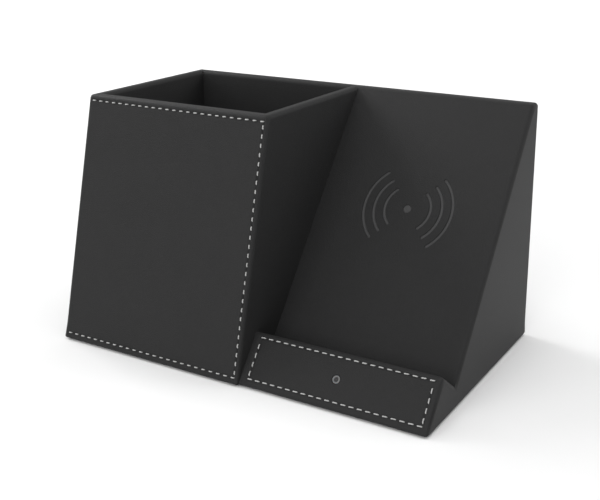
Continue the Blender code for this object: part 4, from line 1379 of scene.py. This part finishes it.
def lofted(name, loops, slot, nodes, closed=False):
    """A solid through loops with the same number of points; closed joins the last to the first."""
    count = len(loops[0])
    points = [p for loop in loops for p in loop]
    faces = []
    for a in range(0, len(points) if closed else len(points) - count, count):
        b = (a + count) % len(points)
        for j in range(count):
            k = (j + 1) % count
            faces.append((a + j, a + k, b + k, b + j))
    if not closed:
        faces.append(tuple(reversed(range(count))))
        faces.append(tuple(range(len(points) - count, len(points))))
    return add_piece(name, points, faces, SOLID_CREASE, slot, nodes)


def round_box(x_low, x_high, y_low, y_high, radius):
    """A rectangle with round corners, as (x, y) points."""
    made = []
    places = ((x_high, y_high), (x_low, y_high), (x_low, y_low), (x_high, y_low))
    for i, (x, y) in enumerate(places):
        centre_x = x - math.copysign(radius, x - x_low - radius)
        centre = Vector((centre_x, y - math.copysign(radius, y - y_low - radius)))
        for k in range(CORNER_STEPS + 1):
            angle = math.pi / 2 * (i + k / CORNER_STEPS)
            made.append(centre + Vector((math.cos(angle), math.sin(angle))) * radius)
    return made


def foot_pad():
    """The foam pad, with round corners and pressed edges."""
    low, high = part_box("base_pad")
    loops = []
    for draw, level in ((0.5, 0.0), (0.12, 0.12), (0.0, 0.4), (0.0, 0.7), (0.15, 0.92), (0.5, 1.0)):
        near = PAD_INSET + draw * MM
        outline = round_box(LEFT + near, RIGHT - near, FRONT + near, BACK - near, PAD_CORNER - draw * MM)
        loops.append([Vector((*p, low.z + (high.z - low.z) * level)) for p in outline])
    piece = lofted("foam_foot_pad", loops, "foam", ["base_pad"])


def lip_point(out, turn, radius):
    """A point beside the indicator's axis, which stands on the lip's front."""
    up_way = Vector((0, *UP_LIP))
    place = Vector((0, *LIP_FOOT)) + up_way * LIGHT_V
    outwards = Vector((0, *-LIP_FRONT[1]))
    flat = Vector((1, 0, 0)) * (radius * math.cos(turn)) + up_way * (radius * math.sin(turn))
    return place + Vector((LIGHT_X, 0, 0)) + outwards * out + flat


def light_loops(profile):
    """Circles round the indicator's axis, from a profile of (radius, height over the face)."""
    turns = [2 * math.pi * i / LIGHT_SIDES for i in range(LIGHT_SIDES)]
    return [[lip_point(out, turn, radius) for turn in turns] for radius, out in profile]


def light():
    """The indicator: a softly domed ring round a dark, dished core."""
    ring = (
        (CORE_RADIUS + CLEARANCE, LIGHT_REAR),
        (LIGHT_RADIUS, LIGHT_REAR),
        (LIGHT_RADIUS, -0.22 * MM),
        (LIGHT_RADIUS - 0.06 * MM, -0.12 * MM),
        (LIGHT_RADIUS - 0.2 * MM, -0.05 * MM),
        ((LIGHT_RADIUS + CORE_RADIUS) / 2, -0.02 * MM),
        (CORE_RADIUS + 0.18 * MM, -0.06 * MM),
        (CORE_RADIUS + 0.06 * MM, -0.14 * MM),
        (CORE_RADIUS + CLEARANCE, -0.24 * MM),
    )
    lofted("indicator_light_ring", light_loops(ring), "light_guide", ["indicator_ring"], closed=True)
    core = (
        (CORE_RADIUS - CLEARANCE, LIGHT_REAR),
        (CORE_RADIUS - CLEARANCE, -0.3 * MM),
        (CORE_RADIUS - 0.1 * MM, -0.22 * MM),
        (CORE_RADIUS - 0.25 * MM, -0.22 * MM),
        (0.3 * MM, -0.3 * MM),
        (0.05 * MM, -0.31 * MM),
    )
    lofted("indicator_light_core", light_loops(core), "chip_plastic", ["indicator_core"])


def slot_loops(centre, sizes):
    """Loops of a slot with round ends, at several depths along Y."""
    made = []
    for width, height, y in sizes:
        made.append([Vector((p.x, y, p.y)) for p in stadium(centre, width, height, INLET_STEPS)])
    return made


def inlet():
    """The inlet's drawn steel shell and its moulded bezel."""
    low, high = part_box("inlet_shell")
    centre = Vector(((low.x + high.x) / 2, (low.z + high.z) / 2))
    width = high.x - low.x
    height = high.z - low.z
    wall = 0.6 * MM
    soft = 0.1 * MM
    shell = (
        (width, height, low.y),
        (width, height, high.y - soft),
        (width - soft, height - soft, high.y),
        (width - wall + soft, height - wall + soft, high.y),
        (width - wall, height - wall, high.y - soft),
        (width - wall, height - wall, low.y),
    )
    lofted("inlet_drawn_shell", slot_loops(centre, shell), "steel", ["inlet_shell"], closed=True)
    low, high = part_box("inlet_bezel")
    outer_width = high.x - low.x
    outer_height = high.z - low.z
    clear = 0.8 * MM
    round_over = 0.35 * MM
    bezel = (
        (outer_width, outer_height, low.y),
        (outer_width, outer_height, high.y - round_over),
        (outer_width - round_over * 0.6, outer_height - round_over * 0.6, high.y - round_over * 0.3),
        (outer_width - round_over * 2, outer_height - round_over * 2, high.y),
        (width + clear + round_over * 2, height + clear + round_over * 2, high.y),
        (width + clear + round_over * 0.5, height + clear + round_over * 0.5, high.y - round_over * 0.4),
        (width + clear, height + clear, high.y - round_over * 1.5),
        (width + clear, height + clear, low.y),
    )
    lofted("inlet_moulded_bezel", slot_loops(centre, bezel), "tray_plastic", ["inlet_bezel"], closed=True)


# ---------------------------------------------------------------- stage

FLOOR_SIZE = 12
WORLD_STRENGTH = 0.34

# The camera stands where the object's straight edges look as they do in the picture it was made from
EYE = (0.244631, -0.388839, 0.210477)
EYE_TILT = math.radians(73.34)
EYE_TURN = math.radians(29.847)
LENS = 59.158
LENS_SHIFT = (-0.05447, -0.08605)


def studio():
    """A pale floor and soft light."""
    bpy.ops.mesh.primitive_plane_add(size=FLOOR_SIZE, location=(0, 2, 0))
    ground = bpy.context.object
    ground.name = "floor"
    pale = Finish("pale_floor", 0.9, specular=0.1)
    pale.color(pale.tint(pale.grain(0.4, detail=2.0), (0.81, 0.81, 0.81), (0.83, 0.83, 0.83)))
    ground.data.materials.append(pale.made)
    world = bpy.data.worlds.new("studio")
    world.use_nodes = True
    world.node_tree.nodes["Background"].inputs["Color"].default_value = (1.0, 1.0, 1.0, 1.0)
    world.node_tree.nodes["Background"].inputs["Strength"].default_value = WORLD_STRENGTH
    bpy.context.scene.world = world
    middle = (0.0, 0.0, 0.05)
    soft_light("top_light", (0.15, 0.25, 1.5), (0.0, 0.0, 0.0), 1.6, 12)
    soft_light("right_rear_light", (1.5, 1.0, 0.8), (0.1, 0.0, 0.05), 0.9, 10.5)
    soft_light("high_front_light", (0.4, -1.0, 1.5), middle, 1.0, 4)
    soft_light("front_light", (0.0, -1.7, 0.7), middle, 1.2, 15)
    soft_light("left_front_light", (-1.2, -1.2, 0.9), middle, 1.0, 3)
    soft_light("left_light", (-1.6, 0.2, 0.9), middle, 1.0, 23)
    soft_light("far_floor_light", (-1.0, 1.9, 1.5), (-1.35, 2.8, 0.3), 1.8, 36)
    soft_light("near_floor_light", (1.0, -1.9, 1.5), (1.35, -2.8, 0.3), 1.8, 36)


def soft_light(name, place, target, size, power):
    """A square studio light that looks at a target."""
    data = bpy.data.lights.new(name, "AREA")
    data.size = size
    data.energy = power
    lamp = bpy.data.objects.new(name, data)
    bpy.context.scene.collection.objects.link(lamp)
    lamp.location = place
    aim = Vector(target) - Vector(place)
    lamp.rotation_euler = aim.to_track_quat("-Z", "Y").to_euler()


def camera():
    """The camera, low in front and to the right, with a little shift for the framing."""
    data = bpy.data.cameras.new("camera")
    data.sensor_width = 36
    data.lens = LENS
    data.shift_x, data.shift_y = LENS_SHIFT
    data.clip_start = 0.01
    eye = bpy.data.objects.new("camera", data)
    bpy.context.scene.collection.objects.link(eye)
    eye.location = EYE
    eye.rotation_euler = (EYE_TILT, 0.0, EYE_TURN)
    bpy.context.scene.camera = eye


finish_frame()
cup_front()
cup_left()
cup_right()
rim()
linings()
floor_lining()
lip()
ledge()
panel()
charger_end()
rear()
foot_pad()
light()
inlet()
studio()
camera()
bpy.context.scene.view_settings.view_transform = "Standard"
bpy.context.scene.view_settings.look = "None"
